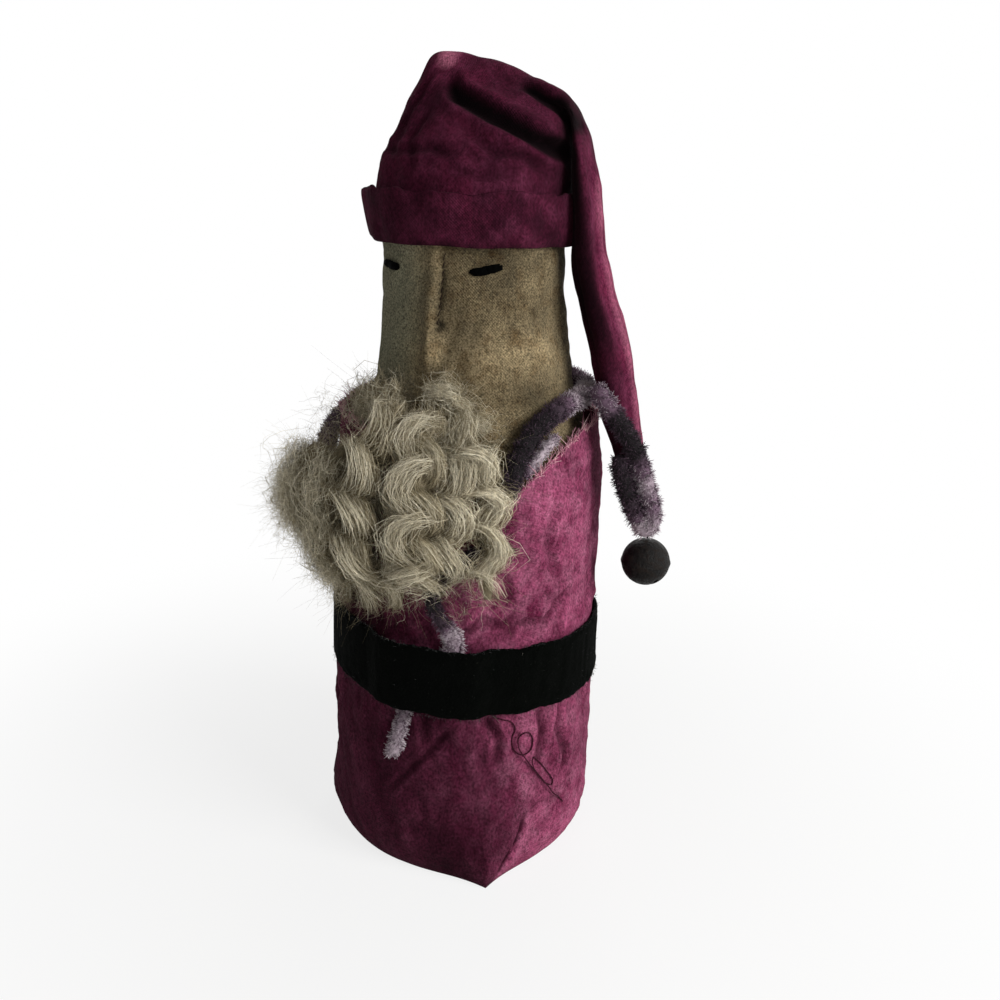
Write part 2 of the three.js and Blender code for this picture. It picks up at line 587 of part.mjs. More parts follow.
// Bell: a slotted shell with a wire loop, tied to the tail's tip, and its loose pellet
const BELL_COLOR = 0x201a18;
const bellFrame = new THREE.Group();
bellFrame.position.copy(place(TAIL_ANGLE, TAIL_TIP_R, BELL_Z));
bellFrame.rotation.z = degToRad(TAIL_ANGLE - 90);
root.add(bellFrame);
function ballProfile(r, lip) {
  return Array.from({ length: 13 }, (_, i) => {
    const t = (Math.PI * i) / 12 - Math.PI / 2;
    const grow = Math.abs(t) < 0.01 ? lip : 0;
    return new THREE.Vector2(Math.abs(t) > 1.57 ? 0 : (r + grow) * Math.cos(t), r * Math.sin(t));
  });
}
const ball = (r, lip) => toSolid(new THREE.LatheGeometry(ballProfile(r, lip), 20).rotateX(Math.PI / 2));
const slotTop = -0.2 * BELL_R; // the cross of slots is in the lower half
const slot = (turned) => {
  const box = new THREE.BoxGeometry(1.7 * BELL_R, SLOT_W, BELL_R).translate(0, 0, slotTop - BELL_R / 2);
  return toSolid(box.rotateZ(turned));
};
const shell = ball(BELL_R, BELL_WALL / 2).subtract(ball(BELL_R - BELL_WALL, 0));
const slotted = shell.subtract(slot(Math.PI / 4)).subtract(slot(-Math.PI / 4));
bellFrame.add(add("bell_shell", toGeometry(slotted), BELL_COLOR, 0.6, 0.8));
const loopZ = BELL_R + GAP + LOOP_WIRE_R + LOOP_R;
const loopRing = new THREE.TorusGeometry(LOOP_R, LOOP_WIRE_R, 6, 14).rotateY(Math.PI / 2);
bellFrame.add(add("bell_loop", loopRing.translate(0, 0, loopZ), BELL_COLOR, 0.5, 0.8));
const pivotZ = loopZ + LOOP_R - LOOP_WIRE_R - GAP - TIE_WIRE_R;
const tieRing = new THREE.TorusGeometry(TIE_R, TIE_WIRE_R, 6, 14).rotateX(Math.PI / 2);
bellFrame.add(add("bell_tie", tieRing.translate(0, 0, pivotZ + TIE_R), 0x2a1220, 0.9));
const pelletDrop = BELL_R - BELL_WALL - PELLET_R - 2 * GAP;
const pellet = new THREE.SphereGeometry(PELLET_R, 10, 6).translate(0, 0, -pelletDrop);
bellFrame.add(add("bell_pellet", pellet, 0x5a5650, 0.4, 0.9));

// Beard: each lock is laid on the body, the strands and the locks before it
const LOCK_STEPS = 12;
LOCKS.forEach((lock, i) => {
  const swell = (t) => lerp(LOCK_ROOT_SHARE, 1, smoothstep(t, 0, 0.3));
  const taper = (t) => lerp(1, LOCK_TIP_SHARE, smoothstep(t, 0.6, 1));
  const fullness = (t) => lock.r * swell(t) * taper(t);
  const standOff = (t) => lock.off * smoothstep(t, 0.35, 0.8);
  const pressed = (t) => LOCK_PRESS * fullness(t);
  const middle = layStrand(lock.route, LOCK_STEPS, pressed, standOff);
  const half = (k) => fullness(k / LOCK_STEPS);
  add("beard_lock_" + String(i + 1).padStart(2, "0"), strand(middle, half, half, 8), 0x8a8068, 1);
  keepLaid(middle, pressed);
});

// Loose thread, lying on the coat under the belt
const threadPoints = THREAD_ROUTE.map(([a, z, lift]) => {
  return place(a, coatOutside(a, z) + GAP + THREAD_R + lift, z);
});
add("loose_thread", tube(threadPoints, THREAD_R, 8, 76), 0x2c0f1a, 0.9);

export default root;
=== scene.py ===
"""A standing cloth santa doll, dressed for its picture.

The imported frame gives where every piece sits. Sizes are in millimetres, as in the part's source,
and become metres where a mesh is made. An angle is in degrees round the upright axis, 0 at the
doll's front (-Y) and 90 at its own left (+X). Cloth is a relief laid over plain round forms,
chenille and mohair are thousands of fine closed fibres, and each finish is worked out by nodes.
"""

from __future__ import annotations

import logging
import math
from dataclasses import dataclass, field
from enum import Enum
from functools import reduce
from typing import Any

import bpy
import numpy as np
from mathutils import Matrix

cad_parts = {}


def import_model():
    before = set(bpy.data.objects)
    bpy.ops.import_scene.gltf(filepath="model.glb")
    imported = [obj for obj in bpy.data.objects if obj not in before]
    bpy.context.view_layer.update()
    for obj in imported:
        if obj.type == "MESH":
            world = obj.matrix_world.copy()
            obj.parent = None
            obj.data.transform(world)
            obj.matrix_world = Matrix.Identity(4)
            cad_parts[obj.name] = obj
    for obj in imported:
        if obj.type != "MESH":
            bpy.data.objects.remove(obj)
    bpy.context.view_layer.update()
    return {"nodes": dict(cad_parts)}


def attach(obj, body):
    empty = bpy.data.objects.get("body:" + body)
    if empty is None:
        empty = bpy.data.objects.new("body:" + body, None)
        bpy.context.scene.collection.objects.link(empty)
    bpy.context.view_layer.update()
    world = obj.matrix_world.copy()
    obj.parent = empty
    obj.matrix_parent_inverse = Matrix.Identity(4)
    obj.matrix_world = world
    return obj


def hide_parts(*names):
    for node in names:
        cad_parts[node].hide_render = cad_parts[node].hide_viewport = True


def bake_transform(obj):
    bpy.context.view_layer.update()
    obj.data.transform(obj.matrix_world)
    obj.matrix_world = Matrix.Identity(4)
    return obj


log = logging.getLogger("santa_doll")

MM = 0.001
GAP = 0.35  # millimetres between pieces that touch
FRONT_R = 3.4  # the front strand's radius where nothing presses on it
UV_MM = 100.0  # millimetres of cloth to one unit of its UV map
Array = np.ndarray
Material = bpy.types.Material
Piece = bpy.types.Object
Tree = bpy.types.NodeTree
Socket = bpy.types.NodeSocket


class Body(Enum):
    """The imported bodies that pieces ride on."""

    DOLL = "doll"
    TAIL = "tail"
    BELL = "bell"


# Plain mathematics


def smoothstep(x: Array, low: float, high: float) -> Array:
    """Rises from 0 at low to 1 at high, level at both ends: 3t squared less 2t cubed."""
    t = np.clip((np.asarray(x, float) - low) / (high - low), 0, 1)
    return t * t * (3 - 2 * t)


def hump(x: Array, spread: float) -> Array:
    """A bell curve of height 1: e to the minus (x over spread) squared."""
    return np.exp(-((np.asarray(x, float) / spread) ** 2))


def turned(angle: Array) -> Array:
    """The angle brought between -180 and 180 degrees."""
    return (np.asarray(angle, float) + 180) % 360 - 180


def blunt(x: Array, power: float | Array) -> Array:
    """A sine or cosine x made blunter: its size to a power below 1, with its sign."""
    return np.sign(x) * np.abs(x) ** power


def lerp(a: Array, b: Array, t: Array) -> Array:
    """From a at t = 0 to b at t = 1 in a straight line."""
    return a + (b - a) * t


def place(angle: Array, r: Array, z: Array) -> Array:
    """Points at an angle on the body, a radius from the axis and a height.

    Args:
        angle: degrees, 0 at the front and 90 at the doll's left.
        r: millimetres from the axis.
        z: millimetres above the base.

    Returns:
        The points, with x = r sin(angle), y = -r cos(angle).
    """
    a = np.radians(np.asarray(angle, float))
    x, y, z = np.broadcast_arrays(r * np.sin(a), -r * np.cos(a), np.asarray(z, float))
    return np.stack([x, y, z], axis=-1)


def unit(v: Array) -> Array:
    """Vectors brought to length 1."""
    return v / np.maximum(np.linalg.norm(v, axis=-1, keepdims=True), 1e-9)


def through(rows: Array, t: Array) -> Array:
    """A smooth curve through rows of numbers, read at shares t of its rows.

    Each value runs on a Catmull-Rom cubic: the slope at a row is half the step between its
    neighbours.

    Args:
        rows: the rows that the curve passes through.
        t: where to read it, from 0 at the first row to 1 at the last.

    Returns:
        One row for each t.
    """
    rows = np.asarray(rows, float)
    x = np.clip(np.asarray(t, float), 0, 1) * (len(rows) - 1)
    i = np.minimum(x.astype(int), len(rows) - 2)
    f = (x - i)[..., None]
    padded = np.concatenate([rows[:1] * 2 - rows[1:2], rows, rows[-1:] * 2 - rows[-2:-1]])
    a, b, c, d = (padded[i + k] for k in range(4))
    return b + 0.5 * f * (c - a + f * (2 * a - 5 * b + 4 * c - d + f * (3 * (b - c) + d - a)))


def travelled(line: Array) -> Array:
    """The way to each point of a line, or to each ring of a row, as the running sum of steps.

    Args:
        line: point by xyz, or ring by point by xyz, whose step is the mean of its points'.

    Returns:
        One distance for each point or ring, from 0.
    """
    steps = np.linalg.norm(np.diff(line, axis=0), axis=-1)
    return np.concatenate([[0], np.cumsum(steps.reshape(len(steps), -1).mean(1))])


def evenly(line: Array, count: int) -> Array:
    """A line of points read again at places equally far apart along it.

    Args:
        line: the line's points.
        count: how many places.

    Returns:
        The points there.
    """
    along = travelled(line)
    at = np.linspace(0, along[-1], count)
    return np.stack([np.interp(at, along, line[:, k]) for k in range(line.shape[1])], axis=1)


def circle(count: int, full: float = 2 * math.pi) -> Array:
    """That many angles at equal steps round a full circle, from 0, in radians or as full says."""
    return np.linspace(0, full, count, endpoint=False)


def chart_of(u: Array, v: Array) -> Array:
    """The two coordinates of a flat chart, brought to one shape, as pairs."""
    return np.stack(np.broadcast_arrays(u, v), -1)


def full_turn(angle: Array, radius: float) -> Array:
    """The way round a circle at degrees below 360, with 360 itself for the seam."""
    return np.append(angle, 360.0) * math.radians(1) * radius


@dataclass(frozen=True)
class Ripple:
    """Smooth random relief of one scale: plane sine waves in random directions, added up.

    Args:
        pitch: the usual distance between crests, in millimetres.
        seed: picks the directions and phases.
        squash: how much faster it changes along x, y and z than the pitch says.
        waves: how many waves are added.
    """

    pitch: float
    seed: int
    squash: tuple[float, float, float] = (1.0, 1.0, 1.0)
    waves: int = 14

    def at(self, points: Array) -> Array:
        """The relief at points.

        Args:
            points: where, with xyz last.

        Returns:
            The waves' sum, about as often over 1 as under -1.
        """
        rng = np.random.default_rng(self.seed)
        direction = unit(rng.normal(size=(self.waves, 3)))
        number = 2 * math.pi / self.pitch * rng.uniform(0.6, 1.4, (self.waves, 1))
        k = direction * number * np.array(self.squash)
        phase = rng.uniform(0, 2 * math.pi, self.waves)
        return np.sin(points @ k.T + phase).sum(-1) / math.sqrt(self.waves / 2)


@dataclass(frozen=True)
class Crease:
    """A fold pressed into cloth along a line on its flat chart.

    With d the distance to the line, the cloth goes in by depth times a bell curve of d over
    width, and beside that it stands out by lip times a bell curve about d = 1.7 widths. Both
    fade out at the line's ends.

    Args:
        route: the line's points on the chart, in millimetres.
        depth: how far the cloth goes in.
        width: half the fold's width.
        lip: how far the cloth stands out beside it.
        dark: how much painted shade lies in the fold.
    """

    route: tuple[tuple[float, float], ...]
    depth: float
    width: float
    lip: float = 0.0
    dark: float = 0.0

    def at(self, chart: Array) -> tuple[Array, Array]:
        """The relief and the darkening at points of the chart.

        Args:
            chart: points of the flat chart, in millimetres.

        Returns:
            How far the cloth stands out, and how dark it gets, from 0.
        """
        route = np.asarray(self.route, float)
        best = np.full(chart.shape[:-1], np.inf)
        share = np.zeros(chart.shape[:-1])
        for i, (a, b) in enumerate(zip(route[:-1], route[1:])):
            d = b - a
            t = np.clip(((chart - a) @ d) / (d @ d), 0, 1)
            away = np.linalg.norm(chart - a - t[..., None] * d, axis=-1)
            near = away < best
            best = np.where(near, away, best)
            share = np.where(near, (i + t) / (len(route) - 1), share)
        fade = smoothstep(share, 0, 0.18) * (1 - smoothstep(share, 0.8, 1))
        inward = hump(best, self.width) * fade
        beside = hump(best - 1.7 * self.width, 0.8 * self.width) * fade
        return self.lip * beside - self.depth * inward, self.dark * hump(best, 1.2 * self.width) * fade


# Meshes as whole arrays


@dataclass
class Surface:
    """A mesh in the making: points in millimetres, faces of three or four corners, and values.

    Args:
        points: one row for each point.
        faces: arrays of corner numbers, three or four to a row.
        uvs: for each array of faces, the UV of each corner.
        values: named numbers for each point.
    """

    points: Array
    faces: list[Array]
    uvs: list[Array] = field(default_factory=list)
    values: dict[str, Array] = field(default_factory=dict)

    def joined(self, other: Surface) -> Surface:
        """This surface and another as one.

        Args:
            other: the other, with the same values.

        Returns:
            Both.
        """
        shift = len(self.points)
        return Surface(
            np.concatenate([self.points, other.points]),
            self.faces + [f + shift for f in other.faces],
            self.uvs + other.uvs,
            {k: np.concatenate([v, other.values[k]]) for k, v in self.values.items()},
        )

    def to_object(self, name: str) -> Piece:
        """Makes the Blender object, at the origin, with its place in its mesh.

        Args:
            name: the piece's name.

        Returns:
            The new object, linked to the scene.
        """
        mesh = bpy.data.meshes.new(name)
        sizes = np.concatenate([np.full(len(f), f.shape[1], np.int32) for f in self.faces])
        corners = np.concatenate([f.ravel() for f in self.faces]).astype(np.int32)
        mesh.vertices.add(len(self.points))
        mesh.vertices.foreach_set("co", (self.points * MM).astype(np.float32).ravel())
        mesh.loops.add(len(corners))
        mesh.loops.foreach_set("vertex_index", corners)
        mesh.polygons.add(len(sizes))
        starts = np.concatenate([[0], np.cumsum(sizes)[:-1]]).astype(np.int32)
        mesh.polygons.foreach_set("loop_start", starts)
        if self.uvs:
            layer = mesh.uv_layers.new(name="cloth")
            flat = np.concatenate([u.reshape(-1, 2) for u in self.uvs]).astype(np.float32)
            layer.data.foreach_set("uv", flat.ravel())
        for key, value in self.values.items():
            attribute = mesh.attributes.new(key, "FLOAT", "POINT")
            attribute.data.foreach_set("value", value.astype(np.float32))
        mesh.update(calc_edges=True)
        mesh.shade_smooth()
        made = bpy.data.objects.new(name, mesh)
        bpy.context.scene.collection.objects.link(made)
        return made


def skin(rings: Array, uv: Array | None = None, values: dict[str, Array] | None = None,
         capped: tuple[bool, bool] = (True, True)) -> Surface:
    """One skin over a row of closed rings, its ends closed by fans where asked.

    Corner (i, k) of the grid joins (i, k + 1), (i + 1, k + 1) and (i + 1, k), with k wrapping
    round the ring. Rings run anticlockwise seen from where they head.

    Args:
        rings: points, as ring by point by xyz.
        uv: the UV in millimetres, with one more column than the rings have, for the seam.
        values: named numbers, as ring by point.
        capped: whether the first and the last ring are closed.

    Returns:
        The skin.
    """
    m, n = rings.shape[:2]
    i, k = np.meshgrid(np.arange(m - 1), np.arange(n), indexing="ij")
    after = (k + 1) % n
    quads = np.stack([i * n + k, i * n + after, (i + 1) * n + after, (i + 1) * n + k], -1)
    points = [rings.reshape(-1, 3)]
    named = {key: [v.ravel()] for key, v in (values or {}).items()}
    faces = [quads.reshape(-1, 4)]
    uvs = []
    if uv is not None:
        corner = np.stack([uv[i, k], uv[i, k + 1], uv[i + 1, k + 1], uv[i + 1, k]], -2)
        uvs.append(corner.reshape(-1, 4, 2) / UV_MM)
    ring = np.arange(n)
    for end, (row, closed) in enumerate(zip((0, m - 1), capped)):
        if not closed:
            continue
        middle = sum(len(p) for p in points)
        points.append(rings[row].mean(0)[None])
        for key, v in (values or {}).items():
            named[key].append(v[row].mean()[None])
        first, second = row * n + ring, row * n + (ring + 1) % n
        order = [np.full(n, middle), second, first] if end == 0 else [np.full(n, middle), first, second]
        faces.append(np.stack(order, -1))
        if uv is not None:
            uvs.append(np.repeat(uv[row, :-1][:, None], 3, 1) / UV_MM)
    return Surface(np.concatenate(points), faces, uvs, {k: np.concatenate(v) for k, v in named.items()})


def normals(rings: Array) -> Array:
    """Unit normals of rings: the cross product of the step round and the step to the next."""
    return unit(np.cross(np.roll(rings, -1, 1) - np.roll(rings, 1, 1), np.gradient(rings, axis=0)))


def carried_frames(line: Array) -> tuple[Array, Array, Array]:
    """The directions at each point of a line on the body.

    Args:
        line: the line's points.

    Returns:
        Along it; outwards, which is away from the axis less what of that runs along the line;
        and across.
    """
    along = unit(np.gradient(line, axis=0))
    out = unit(line * np.array([1, 1, 0]))
    out = unit(out - (out * along).sum(-1, keepdims=True) * along)
    return along, out, np.cross(along, out)


def tube(line: Array, radius: Array, sides: int) -> Surface:
    """A round tube along a line of points, closed at both ends.

    Args:
        line: the middle line's points.
        radius: its radius at each point.
        sides: points round it.

    Returns:
        The tube's surface.
    """
    along = unit(np.gradient(line, axis=0))
    side = np.zeros_like(line)
    helper = np.eye(3)[np.argmin(np.abs(along[0]))]
    side[0] = unit(np.cross(along[0], helper))
    for i in range(1, len(line)):
        side[i] = unit(side[i - 1] - (side[i - 1] @ along[i]) * along[i])
    other = np.cross(along, side)
    t = circle(sides)
    ring = np.cos(t)[None, :, None] * side[:, None] + np.sin(t)[None, :, None] * other[:, None]
    rings = line[:, None] + ring * np.broadcast_to(radius, len(line))[:, None, None]
    u = np.linspace(0, 1, sides + 1) * 2 * math.pi * np.max(radius)
    return skin(rings, chart_of(u[None], travelled(line)[:, None]))


def fibres(paths: Array, radius: Array, tone: Array) -> Surface:
    """Many thin closed fibres at once, each a three-sided tube along its path.

    Each path's side vector starts square to its first step and is carried along it without
    twist: what of it runs along the next step is taken off.

    Args:
        paths: points, as fibre by step by xyz.
        radius: the radius at each fibre's steps.
        tone: the number that picks the colour, at each fibre's steps.

    Returns:
        All the fibres as one surface with the value "tone".
    """
    count, steps = paths.shape[:2]
    along = unit(np.gradient(paths, axis=1))
    helper = np.eye(3)[np.argmin(np.abs(along[:, 0]), axis=1)]
    side = np.empty_like(paths)
    side[:, 0] = unit(np.cross(along[:, 0], helper))
    for s in range(1, steps):
        carried = side[:, s - 1]
        side[:, s] = unit(carried - (carried * along[:, s]).sum(-1, keepdims=True) * along[:, s])
    other = np.cross(along, side)
    t = np.arange(3) * 2 * math.pi / 3
    wheel = np.cos(t)[:, None] * side[:, :, None] + np.sin(t)[:, None] * other[:, :, None]
    points = paths[:, :, None] + wheel * np.broadcast_to(radius, (count, steps))[:, :, None, None]
    f, s, k = np.meshgrid(np.arange(count), np.arange(steps - 1), np.arange(3), indexing="ij")
    base, after = (f * steps + s) * 3, (k + 1) % 3
    quads = np.stack([base + k, base + after, base + 3 + after, base + 3 + k], -1).reshape(-1, 4)
    first = (np.arange(count) * steps * 3)[:, None]
    last = first + (steps - 1) * 3
    ends = np.concatenate([first + np.array([0, 2, 1]), last + np.array([0, 1, 2])])
    tones = np.repeat(np.broadcast_to(tone, (count, steps)).reshape(-1), 3)
    return Surface(points.reshape(-1, 3), [quads, ends], [], {"tone": tones})


# Finishes


def linear(code: str) -> tuple[float, ...]:
    """The linear colour of an sRGB hex code.

    Args:
        code: a hash and six hex digits.

    Returns:
        Red, green, blue and an alpha of 1.
    """
    parts = [int(code[i : i + 2], 16) / 255 for i in (1, 3, 5)]
    return (*(c / 12.92 if c <= 0.04045 else ((c + 0.055) / 1.055) ** 2.4 for c in parts), 1.0)


def put(tree: Tree, kind: str, inputs: dict, out: int | str = 0, **settings: Any) -> Socket | None:
    """Adds one shader node.

    Args:
        tree: the node tree that it goes into.
        kind: the node's type, without its prefix.
        inputs: values, or other nodes' sockets, for its inputs by name or number.
        out: the output wanted, by name or number.
        **settings: its properties.

    Returns:
        The output's socket, or None from a node without outputs.
    """
    made = tree.nodes.new("ShaderNode" + kind)
    for key, value in settings.items():
        setattr(made, key, value)
    for key, value in inputs.items():
        if isinstance(value, Socket):
            tree.links.new(value, made.inputs[key])
        else:
            made.inputs[key].default_value = value
    return made.outputs[out] if len(made.outputs) else None


def mottle(tree: Tree, pitch: float, detail: float = 4.0, low: float = 0.35, high: float = 0.65,
           squash: float = 1.0) -> Socket:
    """Cloudy variation from 0 to 1 in object space.

    Args:
        tree: the node tree.
        pitch: the clouds' size, in millimetres.
        detail: how many finer octaves it has.
        low: the noise value that becomes 0.
        high: the noise value that becomes 1.
        squash: how fast it changes with the height, against sideways.

    Returns:
        The socket that gives it.
    """
    where = put(tree, "TexCoord", {}, "Object")
    scaled = put(tree, "Mapping", {"Vector": where, "Scale": (1, 1, squash)})
    noise = put(tree, "TexNoise", {
        "Vector": scaled, "Scale": 1 / (pitch * MM), "Detail": detail, "Roughness": 0.6})
    return put(tree, "MapRange", {"Value": noise, "From Min": low, "From Max": high})


def weave(tree: Tree, thread: float, slub: float) -> Socket:
    """The height of a plain weave on the cloth's own UV map.

    The height is sin(x) times sin(y) with a thread to each half wave, so crossings rise and
    sink in turn. The threads wander by a little noise.

    Args:
        tree: the node tree.
        thread: the distance between threads, in millimetres.
        slub: how much the threads wander, in threads.

    Returns:
        The socket that gives it, from -1 to 1.
    """
    chart = put(tree, "UVMap", {}, uv_map="cloth")
    noise = put(tree, "TexNoise", {"Vector": chart, "Scale": UV_MM / (6 * thread), "Detail": 2.0}, "Color")
    bent = put(tree, "VectorMath", {
        0: noise, 1: (slub * thread / UV_MM,) * 3, 2: chart}, operation="MULTIPLY_ADD")
    waves = []
    for axis in "XY":
        along = put(tree, "SeparateXYZ", {0: bent}, axis)
        phase = put(tree, "Math", {0: along, 1: math.pi * UV_MM / thread}, operation="MULTIPLY")
        waves.append(put(tree, "Math", {0: phase}, operation="SINE"))
    return put(tree, "Math", {0: waves[0], 1: waves[1]}, operation="MULTIPLY")


def layered(tree: Tree, base: str, layers: tuple, gains: tuple = ()) -> Socket:
    """A colour built up in layers, then made lighter or darker.

    Args:
        tree: the node tree.
        base: the lowest layer's colour.
        layers: pairs of a socket, from 0 to 1, and the colour that lies over where it is 1.
        gains: the sockets that the colour is multiplied by.

    Returns:
        The socket that gives it.
    """
    colour: Any = linear(base)
    for share, over in layers:
        colour = put(tree, "Mix", {0: share, 6: colour, 7: linear(over)}, 2, data_type="RGBA")
    for gain in gains:
        colour = put(tree, "VectorMath", {0: colour, "Scale": gain}, operation="SCALE")
    return colour


class Finish:
    """A finish. Each kind names its material and works out one principled shader's inputs."""

    name: str

    def inputs(self, tree: Tree) -> dict[str, Any]:
        """The shader's inputs, as values or as sockets of nodes that it adds to the tree."""
        raise NotImplementedError

    def make(self) -> Material:
        """Builds the material.

        Returns:
            The material.
        """
        made = bpy.data.materials.new(self.name)
        made.use_nodes = True
        tree = made.node_tree
        tree.nodes.clear()
        shader = put(tree, "BsdfPrincipled", self.inputs(tree))
        put(tree, "OutputMaterial", {"Surface": shader})
        return made


@dataclass(frozen=True)
class DyedCotton(Finish):
    """Plain-weave cotton, dyed by hand in a crumpled heap and washed.

    That leaves cloudy light and dark patches and pale thread tops, and a dull, slightly fulled
    surface. The threads lie about 0.5 mm apart.
    """

    name: str
    deep: str
    body: str
    bloom: str
    patch: float = 17.0
    thread: float = 0.5
    # worn is the painted highlight's colour, laid where the shade is below -0.7, and the sheen's tint
    worn: str = "#b06a80"
    bloomed: float = 0.5
    speckle: float = 0.42

    def inputs(self, tree: Tree) -> dict[str, Any]:
        """Works out the shader's inputs.

        Patches, pale blooms, the deep colour painted as shade in folds, and the worn colour painted
        as a highlight lie over each other in that order. Thread tops, specks and the painted light
        and shade then each scale the colour.

        Args:
            tree: the material's nodes.

        Returns:
            The inputs.
        """
        shade = put(tree, "Attribute", {}, "Fac", attribute_name="shade")
        patches = mottle(tree, self.patch, 6.0, 0.36, 0.62, 0.9)
        blooms = put(tree, "Math", {
            0: mottle(tree, self.patch / 3, 6.0, 0.44, 0.72, 0.8), 1: self.bloomed}, operation="MULTIPLY")
        # Painted shade towards the deep dye where the shade is above 0, painted highlight towards worn below
        # -0.7
        painted_fold_shade = put(tree, "MapRange", {"Value": shade, "From Min": 0.0, "From Max": 0.8})
        painted_highlight = put(tree, "MapRange", {"Value": shade, "From Min": -0.7, "From Max": -1.0, "To Max": 0.45})
        height = weave(tree, self.thread, 0.9)
        tops = put(tree, "MapRange", {
            "Value": height, "From Min": -1.0, "From Max": 1.0, "To Min": 0.9, "To Max": 1.1})
        speck = put(tree, "MapRange", {
            "Value": mottle(tree, 0.8, 3.0, 0.34, 0.66, 0.7), "To Min": 1 - self.speckle,
            "To Max": 1 + self.speckle})
        # The shade attribute's painted light and shade scale the colour last
        kept = put(tree, "MapRange", {
            "Value": shade, "From Min": -1.0, "From Max": 1.0, "To Min": 1.75, "To Max": 0.04})
        colour = layered(tree, self.deep, (
            (patches, self.body), (blooms, self.bloom), (painted_fold_shade, self.deep), (painted_highlight, self.worn)),
            (tops, speck, kept))
        fuzz = put(tree, "Math", {0: height, 1: mottle(tree, 1.1, 3.0)}, operation="ADD")
        bump = put(tree, "Bump", {"Height": fuzz, "Strength": 0.5, "Distance": 0.2 * MM})
        slope = put(tree, "Math", {0: mottle(tree, 16, 3.0, 0.3, 0.7), 1: 0.5}, operation="SUBTRACT")
        ridge = put(tree, "Math", {0: slope}, operation="ABSOLUTE")
        bump = put(tree, "Bump", {"Height": ridge, "Strength": 0.6, "Distance": 1.6 * MM, "Normal": bump})
        return {
            "Base Color": colour, "Normal": bump, "Roughness": 0.95, "Sheen Weight": 0.03,
            "Sheen Roughness": 0.5, "Sheen Tint": linear(self.worn), "Specular IOR Level": 0.06}


@dataclass(frozen=True)
class StainedLinen(Finish):
    """Coarse linen steeped in tea, so that the slubs dry pale and the hollows brown."""

    name: str = "tea-stained coarse linen"
    pale: str = "#8d7d5f"
    brown: str = "#4b3518"
    grey: str = "#6c6049"
    green: str = "#8f8d76"
    thread: float = 0.5

    def inputs(self, tree: Tree) -> dict[str, Any]:
        """Works out the shader's inputs.

        Grey stains, brown spots and the painted side light's green lie over the pale linen. Thread
        tops, specks and the shade, which holds real stains and painted shade and highlight, then
        each scale the colour.

        Args:
            tree: the material's nodes.

        Returns:
            The inputs.
        """
        shade, painted_side_light = (put(tree, "Attribute", {}, "Fac", attribute_name=name) for name in ("shade", "painted_side_light"))
        stains = mottle(tree, 14, 4.0, 0.38, 0.66)
        spots = put(tree, "Math", {0: mottle(tree, 6, 5.0, 0.48, 0.72), 1: 0.7}, operation="MULTIPLY")
        height = weave(tree, self.thread, 1.1)
        tops = put(tree, "MapRange", {
            "Value": height, "From Min": -1.0, "From Max": 1.0, "To Min": 0.93, "To Max": 1.07})
        speck = put(tree, "MapRange", {
            "Value": mottle(tree, 0.65, 4.0, 0.34, 0.66), "To Min": 0.34, "To Max": 1.62})
        # The shade attribute's stains and painted shade and highlight scale the colour last
        kept = put(tree, "MapRange", {
            "Value": shade, "From Min": -1.0, "From Max": 1.0, "To Min": 1.6, "To Max": 0.06})
        colour = layered(tree, self.pale, (
            (stains, self.grey), (spots, self.brown), (painted_side_light, self.green)), (tops, speck, kept))
        fuzz = put(tree, "Math", {0: height, 1: mottle(tree, 1.2, 3.0)}, operation="ADD")
        bump = put(tree, "Bump", {"Height": fuzz, "Strength": 0.6, "Distance": 0.25 * MM})
        return {
            "Base Color": colour, "Normal": bump, "Roughness": 0.95, "Sheen Weight": 0.02,
            "Sheen Roughness": 0.5, "Specular IOR Level": 0.12}


@dataclass(frozen=True)
class PileFibre(Finish):
    """Fine fibres coloured by the value "tone": dark at 0, middle at a half, light at 1."""

    name: str
    dark: str
    middle: str
    light: str
    roughness: float = 0.75
    sheen: float = 0.15

    def inputs(self, tree: Tree) -> dict[str, Any]:
        """Works out the shader's inputs.

        Args:
            tree: the material's nodes.

        Returns:
            The inputs.
        """
        tone = put(tree, "Attribute", {}, "Fac", attribute_name="tone")
        lower = put(tree, "MapRange", {"Value": tone, "From Max": 0.5})
        upper = put(tree, "MapRange", {"Value": tone, "From Min": 0.5})
        speck = put(tree, "MapRange", {
            "Value": mottle(tree, 1.6, 2.0, 0.3, 0.7), "To Min": 0.82, "To Max": 1.14})
        colour = layered(tree, self.dark, ((lower, self.middle), (upper, self.light)), (speck,))
        return {
            "Base Color": colour, "Roughness": self.roughness, "Sheen Weight": self.sheen,
            "Specular IOR Level": 0.3}


@dataclass(frozen=True)
class WoolFelt(Finish):
    """Pressed black wool felt: no weave, a nap of matted fibres, and a little pale lint."""

    name: str = "black wool felt"
    nap: str = "#010201"
    worn: str = "#030403"
    lint: str = "#22221e"

    def inputs(self, tree: Tree) -> dict[str, Any]:
        """Works out the shader's inputs.

        Args:
            tree: the material's nodes.

        Returns:
            The inputs.
        """
        flecks = put(tree, "Math", {0: mottle(tree, 0.9, 1.0, 0.72, 0.78), 1: 0.5}, operation="MULTIPLY")
        colour = layered(tree, self.nap, ((mottle(tree, 5, 5.0), self.worn), (flecks, self.lint)))
        height = put(tree, "Math", {0: mottle(tree, 0.8, 3.0), 1: mottle(tree, 3, 3.0)}, operation="ADD")
        bump = put(tree, "Bump", {"Height": height, "Strength": 0.8, "Distance": 0.3 * MM})
        return {"Base Color": colour, "Normal": bump, "Roughness": 1.0, "Specular IOR Level": 0.04}


